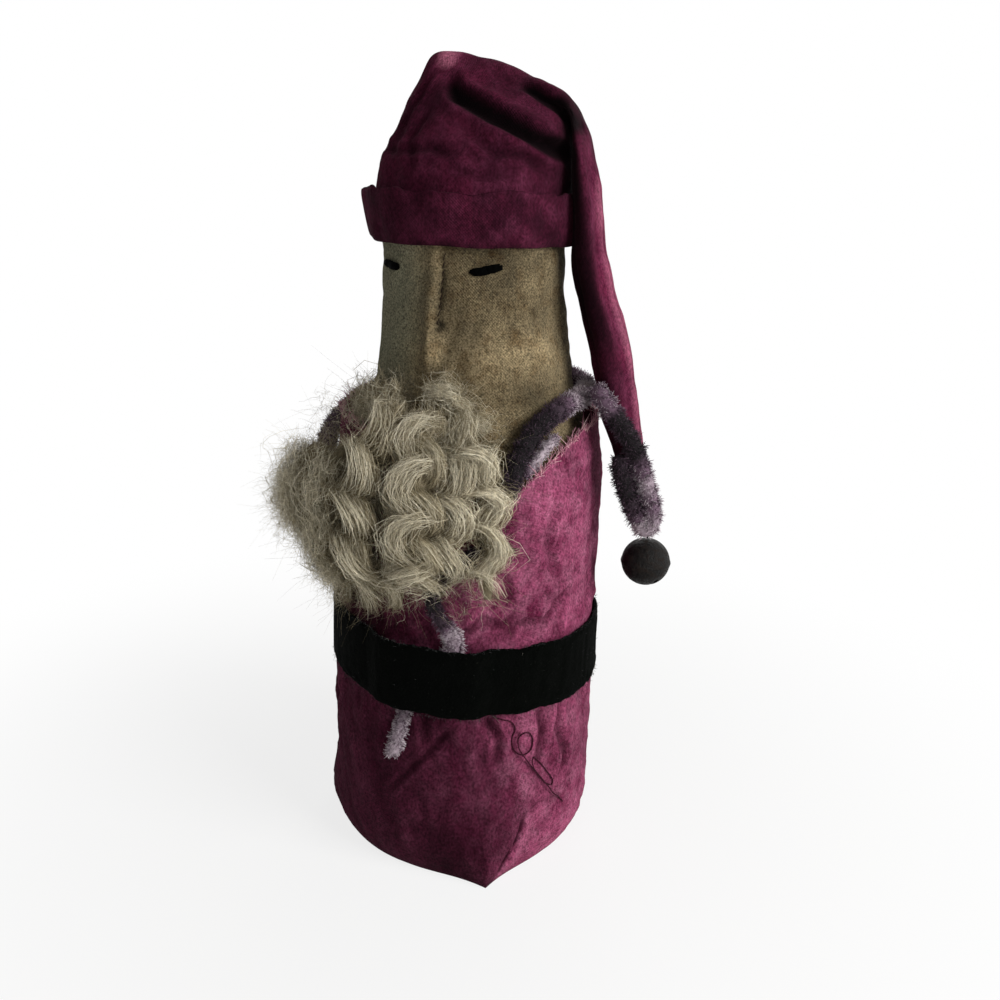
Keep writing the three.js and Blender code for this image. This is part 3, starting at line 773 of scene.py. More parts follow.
@dataclass(frozen=True)
class RustedTin(Finish):
    """Tin plate, blackened and left to rust: dull, pitted, with brown bloom."""

    name: str = "blackened rusted tin"
    black: str = "#070504"
    rust: str = "#170f0a"
    bright: str = "#2a241e"

    def inputs(self, tree: Tree) -> dict[str, Any]:
        """Works out the shader's inputs. Rust is rougher than the tin, and no metal.

        Args:
            tree: the material's nodes.

        Returns:
            The inputs.
        """
        rusty = mottle(tree, 2.2, 6.0, 0.46, 0.66)
        scratched = put(tree, "Math", {0: mottle(tree, 0.7, 3.0, 0.62, 0.75), 1: 0.5}, operation="MULTIPLY")
        colour = layered(tree, self.black, ((rusty, self.rust), (scratched, self.bright)))
        metal = put(tree, "MapRange", {"Value": rusty, "To Min": 0.4, "To Max": 0.05})
        rough = put(tree, "MapRange", {"Value": rusty, "To Min": 0.5, "To Max": 0.85})
        height = put(tree, "Math", {0: mottle(tree, 0.9, 4.0), 1: rusty}, operation="ADD")
        bump = put(tree, "Bump", {"Height": height, "Strength": 0.6, "Distance": 0.25 * MM})
        return {
            "Base Color": colour, "Metallic": metal, "Roughness": rough, "Normal": bump,
            "Specular IOR Level": 0.2}


@dataclass(frozen=True)
class SpunThread(Finish):
    """Sewing thread or floss: plies that wind round it, seen as slanting light and dark."""

    name: str
    shadow: str
    ply: str
    lay: float = 1.2
    gloss: float = 0.12

    def inputs(self, tree: Tree) -> dict[str, Any]:
        """Works out the shader's inputs. A ply is a sine of both UV values' sum, in millimetres.

        Args:
            tree: the material's nodes.

        Returns:
            The inputs.
        """
        chart = put(tree, "UVMap", {}, uv_map="cloth")
        around, along = (put(tree, "SeparateXYZ", {0: chart}, axis) for axis in "XY")
        slant = put(tree, "Math", {0: around, 1: along}, operation="ADD")
        phase = put(tree, "Math", {0: slant, 1: 2 * math.pi * UV_MM / self.lay}, operation="MULTIPLY")
        wave = put(tree, "Math", {0: phase}, operation="SINE")
        share = put(tree, "MapRange", {"Value": wave, "From Min": -1.0})
        colour = layered(tree, self.shadow, ((share, self.ply),))
        bump = put(tree, "Bump", {"Height": wave, "Strength": 0.6, "Distance": 0.1 * MM})
        return {"Base Color": colour, "Normal": bump, "Roughness": 0.8, "Specular IOR Level": self.gloss}


@dataclass(frozen=True)
class PlainGrain(Finish):
    """A plain material with fine cloudy grain, for what is inside the doll."""

    name: str
    pale: str
    dark: str
    pitch: float
    roughness: float
    metallic: float = 0.0

    def inputs(self, tree: Tree) -> dict[str, Any]:
        """Works out the shader's inputs.

        Args:
            tree: the material's nodes.

        Returns:
            The inputs.
        """
        grain = mottle(tree, self.pitch, 5.0)
        colour = layered(tree, self.pale, ((grain, self.dark),))
        bump = put(tree, "Bump", {"Height": grain, "Strength": 0.5, "Distance": 0.2 * MM})
        return {
            "Base Color": colour, "Normal": bump, "Roughness": self.roughness, "Metallic": self.metallic}


def dressed(made: Surface | Piece, name: str, material: Material, body: Body | None, slot: str,
            *nodes: str) -> Piece:
    """Makes a piece, gives it its material and its body, and hides the nodes it replaces.

    Args:
        made: its surface, or the object that is made already.
        name: the piece's name.
        material: its finish.
        body: the body that it rides on, or None for a piece that rides on none.
        slot: the record's material slot; not used.
        nodes: the CAD nodes that it stands for.

    Returns:
        The piece.
    """
    piece = made.to_object(name) if isinstance(made, Surface) else made
    piece.data.materials.append(material)
    if body is not None:
        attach(piece, body.value)
    if nodes:
        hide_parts(*nodes)
    triangles = len(piece.data.loops) - 2 * len(piece.data.polygons)
    log.info("%s: %d triangles", piece.name, triangles)
    return piece


# The round forms that everything is laid on


@dataclass(frozen=True)
class Figure:
    """The doll's round forms, as a radius at an angle and height."""

    torso: float = 48.0
    head: float = 32.5
    belly: float = 1.6
    belly_z: float = 40.0
    belly_spread: float = 36.0
    shoulder_z: float = 142.0
    jaw_z: float = 208.0
    cheek: float = 1.6
    cheek_z: float = 198.0
    cheek_spread: float = 12.0
    brow_z: float = 243.0
    top_z: float = 268.0
    nose_angle: float = 2.0
    nose_spread: float = 5.5
    nose_out: float = 3.4
    nose_top_z: float = 230.0
    nose_tip_z: float = 196.0
    draw_in: float = 5.1
    base_round: float = 17.0
    corner_h: float = 36.0
    corners: tuple[tuple[float, float, float], ...] = (
        (36, 10.4, 11), (128, 7, 20), (-145, 7, 20), (-70, 9.5, 20))
    fit: float = 0.6
    cotton: float = 1.2
    neck_r: float = 46.6
    neck_z: float = 172.0
    neck_dip: float = 24.0
    neck_dip_angle: float = 30.0
    neck_dip_spread: float = 33.0
    belt_z: float = 85.0
    belt_tilt: float = 2.5
    belt_high: float = -70.0

    def torso_radius(self, z: Array) -> Array:
        """The stuffed torso: its radius, the belly's hump, less what the base draws in."""
        drawn = self.draw_in * np.clip(1 - z / self.base_round, 0, None) ** 2
        return self.torso + self.belly * hump(z - self.belly_z, self.belly_spread) - drawn

    def linen_radius(self, z: Array) -> Array:
        """Head and torso in one: the torso narrows to the head, with cheeks, and a dome on top.

        Args:
            z: where, in height.

        Returns:
            The radius.
        """
        tube_r = lerp(self.torso_radius(z), self.head, smoothstep(z, self.shoulder_z, self.jaw_z))
        tube_r = tube_r + self.cheek * hump(z - self.cheek_z, self.cheek_spread)
        dome = np.clip((z - self.brow_z) / (self.top_z - self.brow_z), 0, 1)
        return tube_r * np.sqrt(1 - dome**2)

    def coat_outside(self, angle: Array, z: Array) -> Array:
        """The coat over the torso. Each boxed corner is e to the minus (angle off over spread).

        Args:
            angle: where, round the body.
            z: where, in height.

        Returns:
            The radius of its face.
        """
        narrowing = smoothstep(z, self.shoulder_z, self.neck_z)
        side = lerp(self.torso_radius(z) + self.fit, self.neck_r, narrowing)
        fade = np.clip(1 - z / self.corner_h, 0, None) ** 1.5
        out = [o * np.exp(-np.abs(turned(angle - a)) / s) for a, o, s in self.corners]
        return side + fade * np.max(out, axis=0) + self.cotton

    def neck_edge(self, angle: Array) -> Array:
        """The height of the coat's raw edge, with its dip at the front left."""
        dip = hump(turned(angle - self.neck_dip_angle), self.neck_dip_spread)
        return self.neck_z - self.neck_dip * dip

    def belt_rise(self, angle: Array) -> Array:
        """How far the tilted belt's middle lies over its usual height."""
        return self.belt_tilt * np.cos(np.radians(angle - self.belt_high))


FIGURE = Figure()


# Sub-assemblies


@dataclass
class Coat:
    """The dyed cotton coat: a cup of cloth, closed under the doll, raw at the neck."""

    columns: int = 320
    rows: int = 120
    chart_r: float = 50.0
    belt_half: float = 14.5
    edge_wander: float = 0.9
    fray_count: int = 1500
    folds: tuple[Crease, ...] = (
        Crease(((-7, 32), (0, 42), (9, 53), (16, 62), (21, 69)), 0.5, 1.3, 0.4, 0.14),
        Crease(((33, -3), (37, 5), (42, 13), (45.6, 20), (46.5, 28)), 1.0, 1.1, 0.6, 0.25),
        Crease(((47, 25), (53, 29), (60, 28), (66, 25)), 0.7, 1.2, 0.5, 0.15),
        Crease(((30, 70), (36, 60), (34, 48)), 1.0, 1.8, 0.8, 0.25),
        Crease(((50, 71), (53, 60), (50, 44)), 1.1, 1.8, 0.8, 0.3),
        Crease(((62, 70), (60, 58), (66, 46), (62, 34)), 1.0, 1.8, 0.8, 0.25),
        Crease(((20, 101), (28, 108), (36, 105), (44, 112)), 1.1, 1.6, 0.9, 0.3),
        Crease(((36, 100), (42, 106), (52, 104), (60, 112)), 1.1, 1.5, 0.9, 0.3),
        Crease(((50, 116), (58, 110), (66, 114)), 1.0, 1.6, 0.8, 0.2),
        Crease(((28, 134), (36, 122), (38, 110)), 0.9, 2.0, 0.6, 0.2),
        Crease(((56, 152), (52, 134), (58, 118)), 0.9, 2.2, 0.6, 0.15),
        Crease(((-60, 70), (-64, 56), (-56, 38)), 1.1, 2.2, 0.6, 0.25),
        Crease(((-44, 72), (-40, 62), (-44, 50)), 1.0, 1.8, 0.7, 0.25),
        Crease(((-100, 68), (-112, 50), (-104, 28)), 1.1, 2.2, 0.7, 0.25),
        Crease(((110, 68), (124, 48), (116, 26)), 1.1, 2.2, 0.7, 0.25),
        Crease(((-140, 152), (-128, 130), (-136, 108)), 1.0, 2.2, 0.7, 0.25),
        Crease(((100, 162), (108, 138), (98, 112)), 1.0, 2.2, 0.7, 0.25),
        Crease(((140, 142), (150, 126), (142, 106)), 1.0, 2.2, 0.7, 0.25),
    )

    def relief(self, angle: Array, z: Array) -> tuple[Array, Array]:
        """How far the worn cloth stands off its plain form, and its painted shade.

        Soft waves that run up and down, finer puckers that grow towards the belt, and the
        placed folds; all of it is pressed flat under the belt, at the base and at the collar.

        Args:
            angle: where, round the body.
            z: where, in height.

        Returns:
            The relief in millimetres and the shade from -1 to 1.
        """
        angle, z = np.broadcast_arrays(np.asarray(angle, float), np.asarray(z, float))
        spots = place(angle, self.chart_r, z)
        waves = 0.32 * Ripple(26, 11, (1, 1, 0.45)).at(spots) + 0.2 * Ripple(8, 12, (1, 1, 0.8)).at(spots)
        waves = waves + 0.09 * Ripple(3.5, 14).at(spots)
        gather = hump(np.abs(z - FIGURE.belt_z) - self.belt_half, 13)
        puckers = 0.55 * Ripple(8, 13, (1.3, 1.3, 0.25)).at(spots) * gather
        out, dark = waves + puckers, np.zeros_like(waves)
        chart = chart_of(turned(angle) * math.radians(1) * self.chart_r, z)
        for fold in self.folds:
            inward, deep = fold.at(chart)
            out, dark = out + inward, dark + deep
        belt = smoothstep(np.abs(z - FIGURE.belt_z - FIGURE.belt_rise(angle)), 12.4, 17)
        neck = self.neck_line(angle)
        free = belt * smoothstep(z, 0, 5) * (1 - 0.6 * smoothstep(z, neck - 12, neck))
        out = np.clip(out, -1.6, 1.5) * free
        # Painted shade: darker in the folds and where the cloth sinks, lighter where it stands out
        return out, np.clip(dark - 0.16 * out, -1, 1)

    def neck_line(self, angle: Array) -> Array:
        """The raw edge's height: the figure's neck edge with the wander of a torn cut.

        Args:
            angle: where, round the body.

        Returns:
            The height.
        """
        spots = place(angle, self.chart_r, 0)
        wander = 0.6 * Ripple(9, 21).at(spots) + 0.4 * Ripple(3.2, 22).at(spots)
        return FIGURE.neck_edge(angle) + self.edge_wander * np.clip(wander, -1, 0.9)

    def outside(self, angle: Array, z: Array) -> Array:
        """The radius of the worn cloth's face."""
        return FIGURE.coat_outside(angle, z) + self.relief(angle, z)[0]

    def build(self, cotton: Material, thread: Material) -> None:
        """Makes the coat and the frayed threads of its neck.

        The coat's rings go up its face at equal shares of the height to the raw edge, over the
        edge, down the inside and across the floor.

        Args:
            cotton: the cloth's finish.
            thread: the frayed ends' finish.
        """
        angle = circle(self.columns, 360)
        edge = self.neck_line(angle)
        share = np.linspace(0, 1, self.rows)[:, None] ** 0.92
        z = share * edge
        face_r, shade = self.outside(angle[None], z), self.relief(angle[None], z)[1]
        shade = shade + self.painted_shade_and_light(angle[None], z)
        face = place(angle[None], face_r, z)
        inner_share = np.linspace(1, 0.02, 24)[:, None]
        inner_z = np.maximum(inner_share * edge - 0.15, FIGURE.cotton)
        inner_at = np.minimum(inner_z, edge)
        inner_r = self.outside(angle[None], inner_at) - 0.9 * FIGURE.cotton
        inside = place(angle[None], inner_r, inner_z)
        hem_r = self.outside(angle[None], edge[None]) - 0.45 * FIGURE.cotton
        hem = place(angle[None], hem_r, edge[None] + 0.25)
        under_share = np.array([0.02, 0.25, 0.5, 0.75, 0.93])[:, None]
        under = place(angle[None], under_share * self.outside(angle[None], 0 * angle[None]), 0)
        floor = place(angle[None], under_share[::-1] * inner_r[-1:], FIGURE.cotton)
        rings = np.concatenate([under, face, hem, inside, floor])
        plain = np.zeros((len(under), self.columns))
        # The coat's inside gets painted shade of 0.25
        shades = [plain, shade, shade[-1:], np.full((len(inside), self.columns), 0.25), plain]
        uv = chart_of(full_turn(angle, self.chart_r)[None], travelled(rings)[:, None])
        surface = skin(rings, uv, {"shade": np.clip(np.concatenate(shades), -1, 1)})
        coat = dressed(surface, "coat_cloth", cotton, Body.DOLL, "coat_cotton", "coat")
        trim = dressed(self.frayed_edge(), "neck_fray", thread, Body.DOLL, "coat_cotton")

    def painted_shade_and_light(self, angle: Array, z: Array) -> Array:
        """Painted light and shade: painted shade low in front and under the beard, painted light on the lit
        side and a boxed corner's facet.

        Args:
            angle: where, round the body.
            z: where, in height.

        Returns:
            What it adds to the shade.
        """
        at = turned(angle)
        front = (1 - smoothstep(at, 14, 58)) * smoothstep(at, -125, -65)
        dark = 0.56 * front * (1 - 0.7 * smoothstep(z, 56, 124))
        edge = np.interp(z, (0, 5, 13, 20, 26, 29), (38.5, 42.7, 48.8, 53.2, 54.3, 61))
        facet = smoothstep(at - edge, -0.8, 0.8) * (1 - smoothstep(z, 25, 31))
        low = 0.3 * (1 - smoothstep(z, 14, 40)) * smoothstep(at, 0, 30) * (at < edge)
        # Painted shadow under the beard
        low = low + 0.62 * hump(at + 20, 20) * hump(z - 103, 9)
        return dark + low - 0.3 * facet * (at < 110) - 0.2 * hump(at - 66, 26) * smoothstep(z, 60, 110)

    def frayed_edge(self) -> Surface:
        """The raw edge's loose thread ends: length times (t heading + t squared bend).

        Returns:
            The fibres.
        """
        rng = np.random.default_rng(5)
        n = self.fray_count
        angle = rng.uniform(0, 360, n)
        z = self.neck_line(angle) - rng.uniform(0.2, 1.4, n)
        root = place(angle, self.outside(angle, z) - rng.uniform(0, 1.0, n), z)
        out = place(angle, 1.0, 0)
        side = place(angle + 90, 1.0, 0)
        up = np.array([0, 0, 1.0])
        lean = rng.normal(0, 0.55, (n, 1))
        heading = unit(up + rng.uniform(-0.15, 0.5, (n, 1)) * out + lean * side)
        bend = rng.normal(0, 0.5, (n, 3)) * 0.6
        length = rng.gamma(3.0, 0.9, (n, 1)).clip(0.8, 6.0)
        t = np.linspace(0, 1, 5)[None, :, None]
        paths = root[:, None] + length[:, None] * (t * heading[:, None] + t**2 * bend[:, None])
        radius = np.linspace(0.17, 0.07, 5)[None] * rng.uniform(0.8, 1.2, (n, 1))
        tone = rng.uniform(0.35, 1, (n, 1)) * np.ones(5)
        return fibres(paths, radius, tone)


@dataclass
class Head:
    """The stuffed linen body: torso, neck and head in one skin, with the needle-drawn nose."""

    columns: int = 260
    chart_r: float = 34.0
    crease_angle: float = 6.5
    skin_under: float = 1.9
    eye_inner: float = 24.0
    eye_outer: float = 43.0
    eye_z: float = 225.0
    eye_rise: float = 1.35
    eye_thick: float = 1.75

    def nose(self, angle: Array, z: Array) -> Array:
        """The nose: a ridge that starts flat under the brow and stands out most near its tip.

        Args:
            angle: where, round the body.
            z: where, in height.

        Returns:
            How far it stands out.
        """
        f = FIGURE
        under = smoothstep(z, f.nose_tip_z - 6, f.nose_tip_z + 1)
        bridge = 1 - 0.75 * smoothstep(z, f.nose_tip_z + 8, f.nose_top_z)
        bridge = bridge - 0.25 * smoothstep(z, f.nose_top_z, 240)
        return f.nose_out * under * bridge * hump(turned(angle - f.nose_angle), f.nose_spread)

    def drawn_thread(self, angle: Array, z: Array) -> Array:
        """How near a point is to the stitched line beside the nose.

        Args:
            angle: where, round the body.
            z: where, in height.

        Returns:
            From 0, away from it, to 1.
        """
        f = FIGURE
        length = smoothstep(z, f.nose_tip_z + 3, f.nose_tip_z + 9) * (1 - smoothstep(z, 222, f.nose_top_z))
        return hump(turned(angle - self.line_angle(z)), 1.5) * length

    def line_angle(self, z: Array) -> Array:
        """The stitched line's angle: it slants a little towards the nose as it goes down."""
        f = FIGURE
        return self.crease_angle + 4.4 * (np.asarray(z, float) - 212) / (f.nose_top_z - f.nose_tip_z)

    def relief(self, angle: Array, z: Array) -> tuple[Array, Array]:
        """The face's sculpting on the plain linen, and its stains with painted shade and highlight, each a
        hump placed one by one.

        Args:
            angle: where, round the body.
            z: where, in height.

        Returns:
            How far the linen stands out, and how dark it is, from -1 to 1.
        """

        def spot(at: float, wide: float, up: float, tall: float) -> Array:
            """A soft spot: a bell curve of the angle times one of the height."""
            return hump(turned(angle - at), wide) * hump(z - up, tall)

        spots = place(angle, self.chart_r, z)
        lumps = 0.38 * Ripple(19, 31).at(spots) + 0.14 * Ripple(7, 32).at(spots)
        line = self.drawn_thread(angle, z)
        left = hump(turned(angle + 4.5), 3.4) * smoothstep(z, 200, 210) * (1 - smoothstep(z, 226, 236))
        nostril, cheek, pouch = spot(8, 2.9, 206.4, 2.3), spot(52, 22, 199, 13), spot(30, 12, 214, 7)
        out = lumps + self.nose(angle, z) - 1.2 * line - 0.15 * left - 0.9 * nostril + 1.3 * cheek
        out = out - 0.35 * pouch - 3.2 * spot(-68, 42, 191, 17)
        crest = np.interp(z, (194, 199, 205, 215, 230), (8.5, 3.8, 1.2, 2.4, 4.6))
        ridge = hump(turned(angle - crest), 2.1) * smoothstep(z, 191, 197) * (1 - smoothstep(z, 234, 244))
        front = smoothstep(turned(angle), 0, 8) * (1 - smoothstep(turned(angle), 46, 60))
        uneven = 0.6 + 0.4 * np.sin(angle * 0.6)
        # Painted shade along the stitched crease, in the nostril, beside the nose, under its tip and over
        # the face's front; painted highlight on the cheek and the nose's ridge
        dark = 0.5 * line * (0.6 + 0.4 * np.sin(z * 2.4)) + 0.85 * nostril + 0.1 * left
        dark = dark + 0.15 * spot(5, 6, 193.5, 2.2) - 0.34 * spot(62, 34, 198, 7) - 0.3 * ridge
        dark = dark + 0.36 * front * smoothstep(z, 200, 213)
        # Painted light on the face's right side, and darker high on its left side
        dark = dark - 0.12 * hump(turned(angle + 40), 40) - 0.42 * hump(turned(angle + 8), 9)
        dark = dark + 0.24 * hump(turned(angle - 78), 30) * smoothstep(z, 202, 214)
        # Brown stains on the cheek and low beside the beard, and painted shadow above the moustache
        dark = dark + 0.36 * spot(62, 11, 210.5, 2.6) * uneven
        dark = dark + 0.5 * spot(56, 20, 184, 7) + 0.4 * spot(7, 19, 188, 5)
        return out, np.clip(dark, -1, 1)

    def outside(self, angle: Array, z: Array) -> Array:
        """The radius of the linen's face, which is plain and drawn in under the coat.

        Args:
            angle: where, round the body.
            z: where, in height.

        Returns:
            The radius.
        """
        covered = smoothstep(FIGURE.neck_edge(angle) - z, 2, 12)
        relief = self.relief(angle, z)[0] * (1 - covered)
        return FIGURE.linen_radius(z) + relief - self.skin_under * covered

    def build(self, linen: Material, floss: Material, thread: Material) -> None:
        """Makes the linen skin, the eyes and the nose's stitches.

        Args:
            linen: the skin's finish.
            floss: the eyes' finish.
            thread: the nose stitches' finish.
        """
        angle = circle(self.columns, 360)
        heights = np.concatenate([np.linspace(1.55, 140, 24), np.linspace(142, 242, 118)])
        dome = np.sin(np.linspace(0, 0.5 * math.pi, 16)[1:-1])
        heights = np.concatenate([heights, lerp(FIGURE.brow_z, FIGURE.top_z, dome)])[:, None]
        rings = place(angle[None], self.outside(angle[None], heights), heights)
        shade = self.relief(angle[None], heights)[1]
        uv = chart_of(full_turn(angle, self.chart_r)[None], heights)
        # Painted light on the face's right side: lighter and greener there
        to_right = -turned(angle[None])
        painted_side_light = 0.85 * smoothstep(to_right, -6, 26) * (1 - smoothstep(to_right, 90, 130))
        surface = skin(rings, uv, {"shade": shade, "painted_side_light": painted_side_light * np.ones_like(shade)})
        body = dressed(surface, "linen_skin", linen, Body.DOLL, "linen", "linen_body")
        for side, name in ((1, "left"), (-1, "right")):
            dressed(self.eye(side), f"eye_stitches_{name}", floss, Body.DOLL, "floss", f"eye_{name}")
        dressed(self.nose_stitches(), "nose_stitches", thread, Body.DOLL, "nose_thread", "nose_stitch")

    def eye(self, side: int) -> Surface:
        """One closed eye: long satin stitches of floss side by side, in two lapping groups.

        Each stitch comes out of the linen, runs over it and goes in again, so its height off
        the linen is a half sine along it.

        Args:
            side: 1 for the doll's left and -1 for its right.

        Returns:
            The stitches.
        """
        rng = np.random.default_rng(40 + side)
        stitches = []
        t = np.linspace(0, 1, 14)
        for group, (start, end) in enumerate(((0.0, 0.6), (0.4, 1.0))):
            for row in np.linspace(-1, 1, 6):
                a0 = lerp(self.eye_inner, self.eye_outer, start + 0.1 * row**2 * (group == 0))
                a1 = lerp(self.eye_inner, self.eye_outer, end - 0.1 * row**2 * (group == 1))
                a0, a1 = a0 + rng.normal(0, 0.3), a1 + rng.normal(0, 0.3)
                angle = side * lerp(a0, a1, t)
                rise = self.eye_rise * (0.65 + 0.35 * side) * (lerp(start, end, t) ** 1.4) + 0.3 * group
                z = self.eye_z - 0.4 + rise + row * 0.5 * self.eye_thick * 1.1
                lift = np.sin(math.pi * t) ** 0.5 * (1.05 - 0.45 * row**2) + 0.1
                line = place(angle, FIGURE.linen_radius(z) + lift, z)
                stitches.append(tube(line, 0.42 * np.sin(math.pi * np.clip(t, 0.06, 0.94)) ** 0.3, 8))
        return reduce(Surface.joined, stitches)

    def nose_stitches(self) -> Surface:
        """The thread that draws the nose in: small slanting stitches, each a half sine high.

        Returns:
            The stitches.
        """
        stitches = []
        t = np.linspace(0, 1, 9)
        for z in np.linspace(FIGURE.nose_tip_z + 12, FIGURE.nose_top_z - 1, 9):
            angle = self.line_angle(z) + 1.2 * (t - 0.5)
            height = z + 2.2 * (t - 0.5)
            lift = 0.5 * np.sin(math.pi * t) - 0.05
            line = place(angle, self.outside(angle, height) + lift, height)
            stitches.append(tube(line, 0.17, 7))
        return reduce(Surface.joined, stitches)


@dataclass
class Belt:
    """The black felt band, its end lapped over its start at the back."""

    width: float = 25.4
    thick: float = 1.8
    chart_r: float = 53.0
    start: float = 150.0
    overlap: float = 28.0
    pressed: float = 2.6
    bulge_angle: float = 11.0
    bulge_half: float = 17.0
    steps: int = 380
    fuzz_count: int = 1900

    def stand(self, angle: Array) -> Array:
        """How far the band's inside stands off the coat: its gap, the strand and the lap.

        Args:
            angle: where, from the band's start to its end.

        Returns:
            The distance.
        """
        off = np.abs(turned(angle - self.bulge_angle))
        bulge = 1 - smoothstep(off, self.bulge_half, self.bulge_half + 12)
        past = smoothstep(angle, self.start + 346, self.start + 358)
        return GAP + (self.pressed + 2 * GAP) * bulge + past * (self.thick + GAP)

    def build(self, felt: Material, lint: Material) -> None:
        """Makes the band and the fuzz and lint on it.

        The section is a rounded rectangle: a superellipse of half the width and half the
        thickness, whose edges wander as hand-cut felt does.

        Args:
            felt: the band's finish.
            lint: the fuzz's finish.
        """
        angle = np.linspace(self.start, self.start + 360 + self.overlap, self.steps)
        t = circle(44)
        high = blunt(np.sin(t), 0.25)
        deep = blunt(np.cos(t), 0.45)
        spots = place(angle, self.chart_r, FIGURE.belt_z)
        wander = 0.35 * Ripple(14, 51).at(spots) + 0.16 * Ripple(4, 52).at(spots)
        middle = FIGURE.belt_z + FIGURE.belt_rise(angle)
        z = middle[:, None] + high[None] * (self.width / 2 + wander[:, None] * np.sign(high)[None] * 0.8)
        r = FIGURE.coat_outside(angle[:, None], z) + self.stand(angle)[:, None]
        nap = 0.12 * Ripple(3.5, 53).at(place(angle[:, None], r, z))
        r = r + self.thick / 2 * (1 + deep[None]) + nap * np.clip(deep, 0, 1)[None]
        rings = place(angle[:, None], r, z)
        u = np.append(t, 2 * math.pi)[None] * self.width / math.pi
        surface = skin(rings, chart_of(u, angle[:, None] * math.radians(1) * self.chart_r))
        band = dressed(surface, "felt_belt", felt, Body.DOLL, "felt", "belt")
        fuzz = dressed(self.fuzz(), "belt_lint", lint, Body.DOLL, "felt")

    def fuzz(self) -> Surface:
        """Short fibres along both cut edges and over the face, with a few pale curls of lint.

        Returns:
            The fibres, each length times (t heading + t squared bend).
        """
        rng = np.random.default_rng(55)
        n = self.fuzz_count
        angle = rng.uniform(self.start + 28, self.start + 360 + self.overlap, n)
        edge = rng.choice([-1, 1], n) * np.where(rng.random(n) < 0.75, 1, rng.uniform(0, 1, n))
        middle = FIGURE.belt_z + FIGURE.belt_rise(angle)
        z = middle + edge * self.width / 2
        r = FIGURE.coat_outside(angle, z) + self.stand(angle) + self.thick * rng.uniform(0.3, 0.95, n)
        out, up = place(angle, 1.0, 0), np.array([0, 0, 1.0])
        outwards = out * rng.uniform(0.1, 1, (n, 1))
        upwards = up * np.sign(edge)[:, None] * rng.uniform(0.2, 1, (n, 1))
        heading = unit(outwards + upwards + rng.normal(0, 0.5, (n, 3)))
        length = rng.uniform(0.4, 1.3, (n, 1))
        pale = rng.random(n) < 0.012
        length[pale] *= 3.0
        t = np.linspace(0, 1, 4)[None, :, None]
        bend = rng.normal(0, 0.45, (n, 3))
        paths = place(angle, r, z)[:, None] + length[:, None] * (t * heading[:, None] + t**2 * bend[:, None])
        tone = np.where(pale, 0.9, rng.uniform(0, 0.25, n))[:, None] * np.ones(4)
        return fibres(paths, np.linspace(0.08, 0.04, 4)[None], tone)


@dataclass
class Chenille:
    """A strand of cut-pile chenille: a twisted core with fibres standing out all round."""

    name: str
    node: str
    body: Body
    line: Array
    tones: tuple[tuple[float, float], ...]
    radius: float = 4.2
    squeeze: Array | None = None
    density: float = 3.2
    seed: int = 1
    core: float = 3.0
    steps: int = 400
    taper: float = 3.2
    lay: float = 5.2
    girth: tuple[tuple[float, float], ...] = ((0, 1), (1, 1))

    def build(self, fibre: Material) -> Piece:
        """Makes the strand.

        Each fibre starts on the core and heads outwards at its own angle, leaning along the
        strand. The pile is longer and shorter in turns that wind round the strand. The core
        is a round tube, flattened where the strand is pressed.

        Args:
            fibre: the pile's finish.

        Returns:
            The strand.
        """
        rng = np.random.default_rng(self.seed)
        steps = self.steps
        line = evenly(self.line, steps)
        length = np.linalg.norm(np.diff(line, axis=0), axis=1).sum()
        along, out, across = carried_frames(line)
        press = np.ones(steps) if self.squeeze is None else np.interp(
            np.linspace(0, 1, steps), np.linspace(0, 1, len(self.squeeze)), self.squeeze)
        to_end = np.minimum(np.arange(steps), np.arange(steps)[::-1]) * length / steps
        ends = np.clip(to_end / self.taper, 0, 1) ** 0.5
        ends = (0.4 + 0.6 * ends) * np.interp(np.linspace(0, 1, steps), *zip(*self.girth))
        n = int(length * 2 * math.pi * self.core * self.density)
        at = rng.uniform(0, steps - 1.001, n)
        i, f = at.astype(int), (at % 1)[:, None]
        swing = rng.uniform(0, 2 * math.pi, n)
        pick = [v[i] * (1 - f) + v[i + 1] * f for v in (line, along, out, across)]
        flat = press[i]
        heading = (np.cos(swing) * flat)[:, None] * pick[2]
        heading = heading + (np.sin(swing) * (1.3 - 0.3 * flat))[:, None] * pick[3]
        lean = rng.normal(0, 0.35, (n, 1)) * pick[1]
        turn = 0.11 * self.radius * np.sin(2 * math.pi * at * length / steps / self.lay + swing)
        wide = (self.core * ends[i])[:, None]
        reach = (self.radius - self.core + turn + rng.normal(0, 0.14, n)).clip(0.4, 1.8)[:, None]
        root = pick[0] + heading * wide * 0.9
        droop = rng.normal(0, 0.25, (n, 3))
        t = np.linspace(0, 1, 2)[None, :, None]
        paths = root[:, None] + reach[:, None] * (t * (heading + lean)[:, None] + t**2 * droop[:, None])
        where, tone = zip(*self.tones)
        shade = np.interp(at / steps, where, tone) + rng.normal(0, 0.15, n)
        # Painted shade at each fibre's root and painted highlight at its tip
        tip = np.array([-0.3, 0.08])[None]
        radius = np.array([0.16, 0.09])[None] * rng.uniform(0.7, 1.2, (n, 1))
        pile = fibres(paths, radius, np.clip(shade[:, None] + tip, 0, 1))
        t, thick = circle(14), self.core * ends
        ring = (np.cos(t)[None] * (thick * press)[:, None])[..., None] * out[:, None]
        ring = ring + (np.sin(t)[None] * thick[:, None])[..., None] * across[:, None]
        core = skin(line[:, None] + ring)
        # The core is painted darker than the pile, as shade
        dull = np.interp(np.linspace(0, 1, len(core.points)), where, tone) - 0.15
        core.values = {"tone": np.clip(dull, 0, 1)}
        return dressed(pile.joined(core), self.name, fibre, self.body, "chenille", self.node)


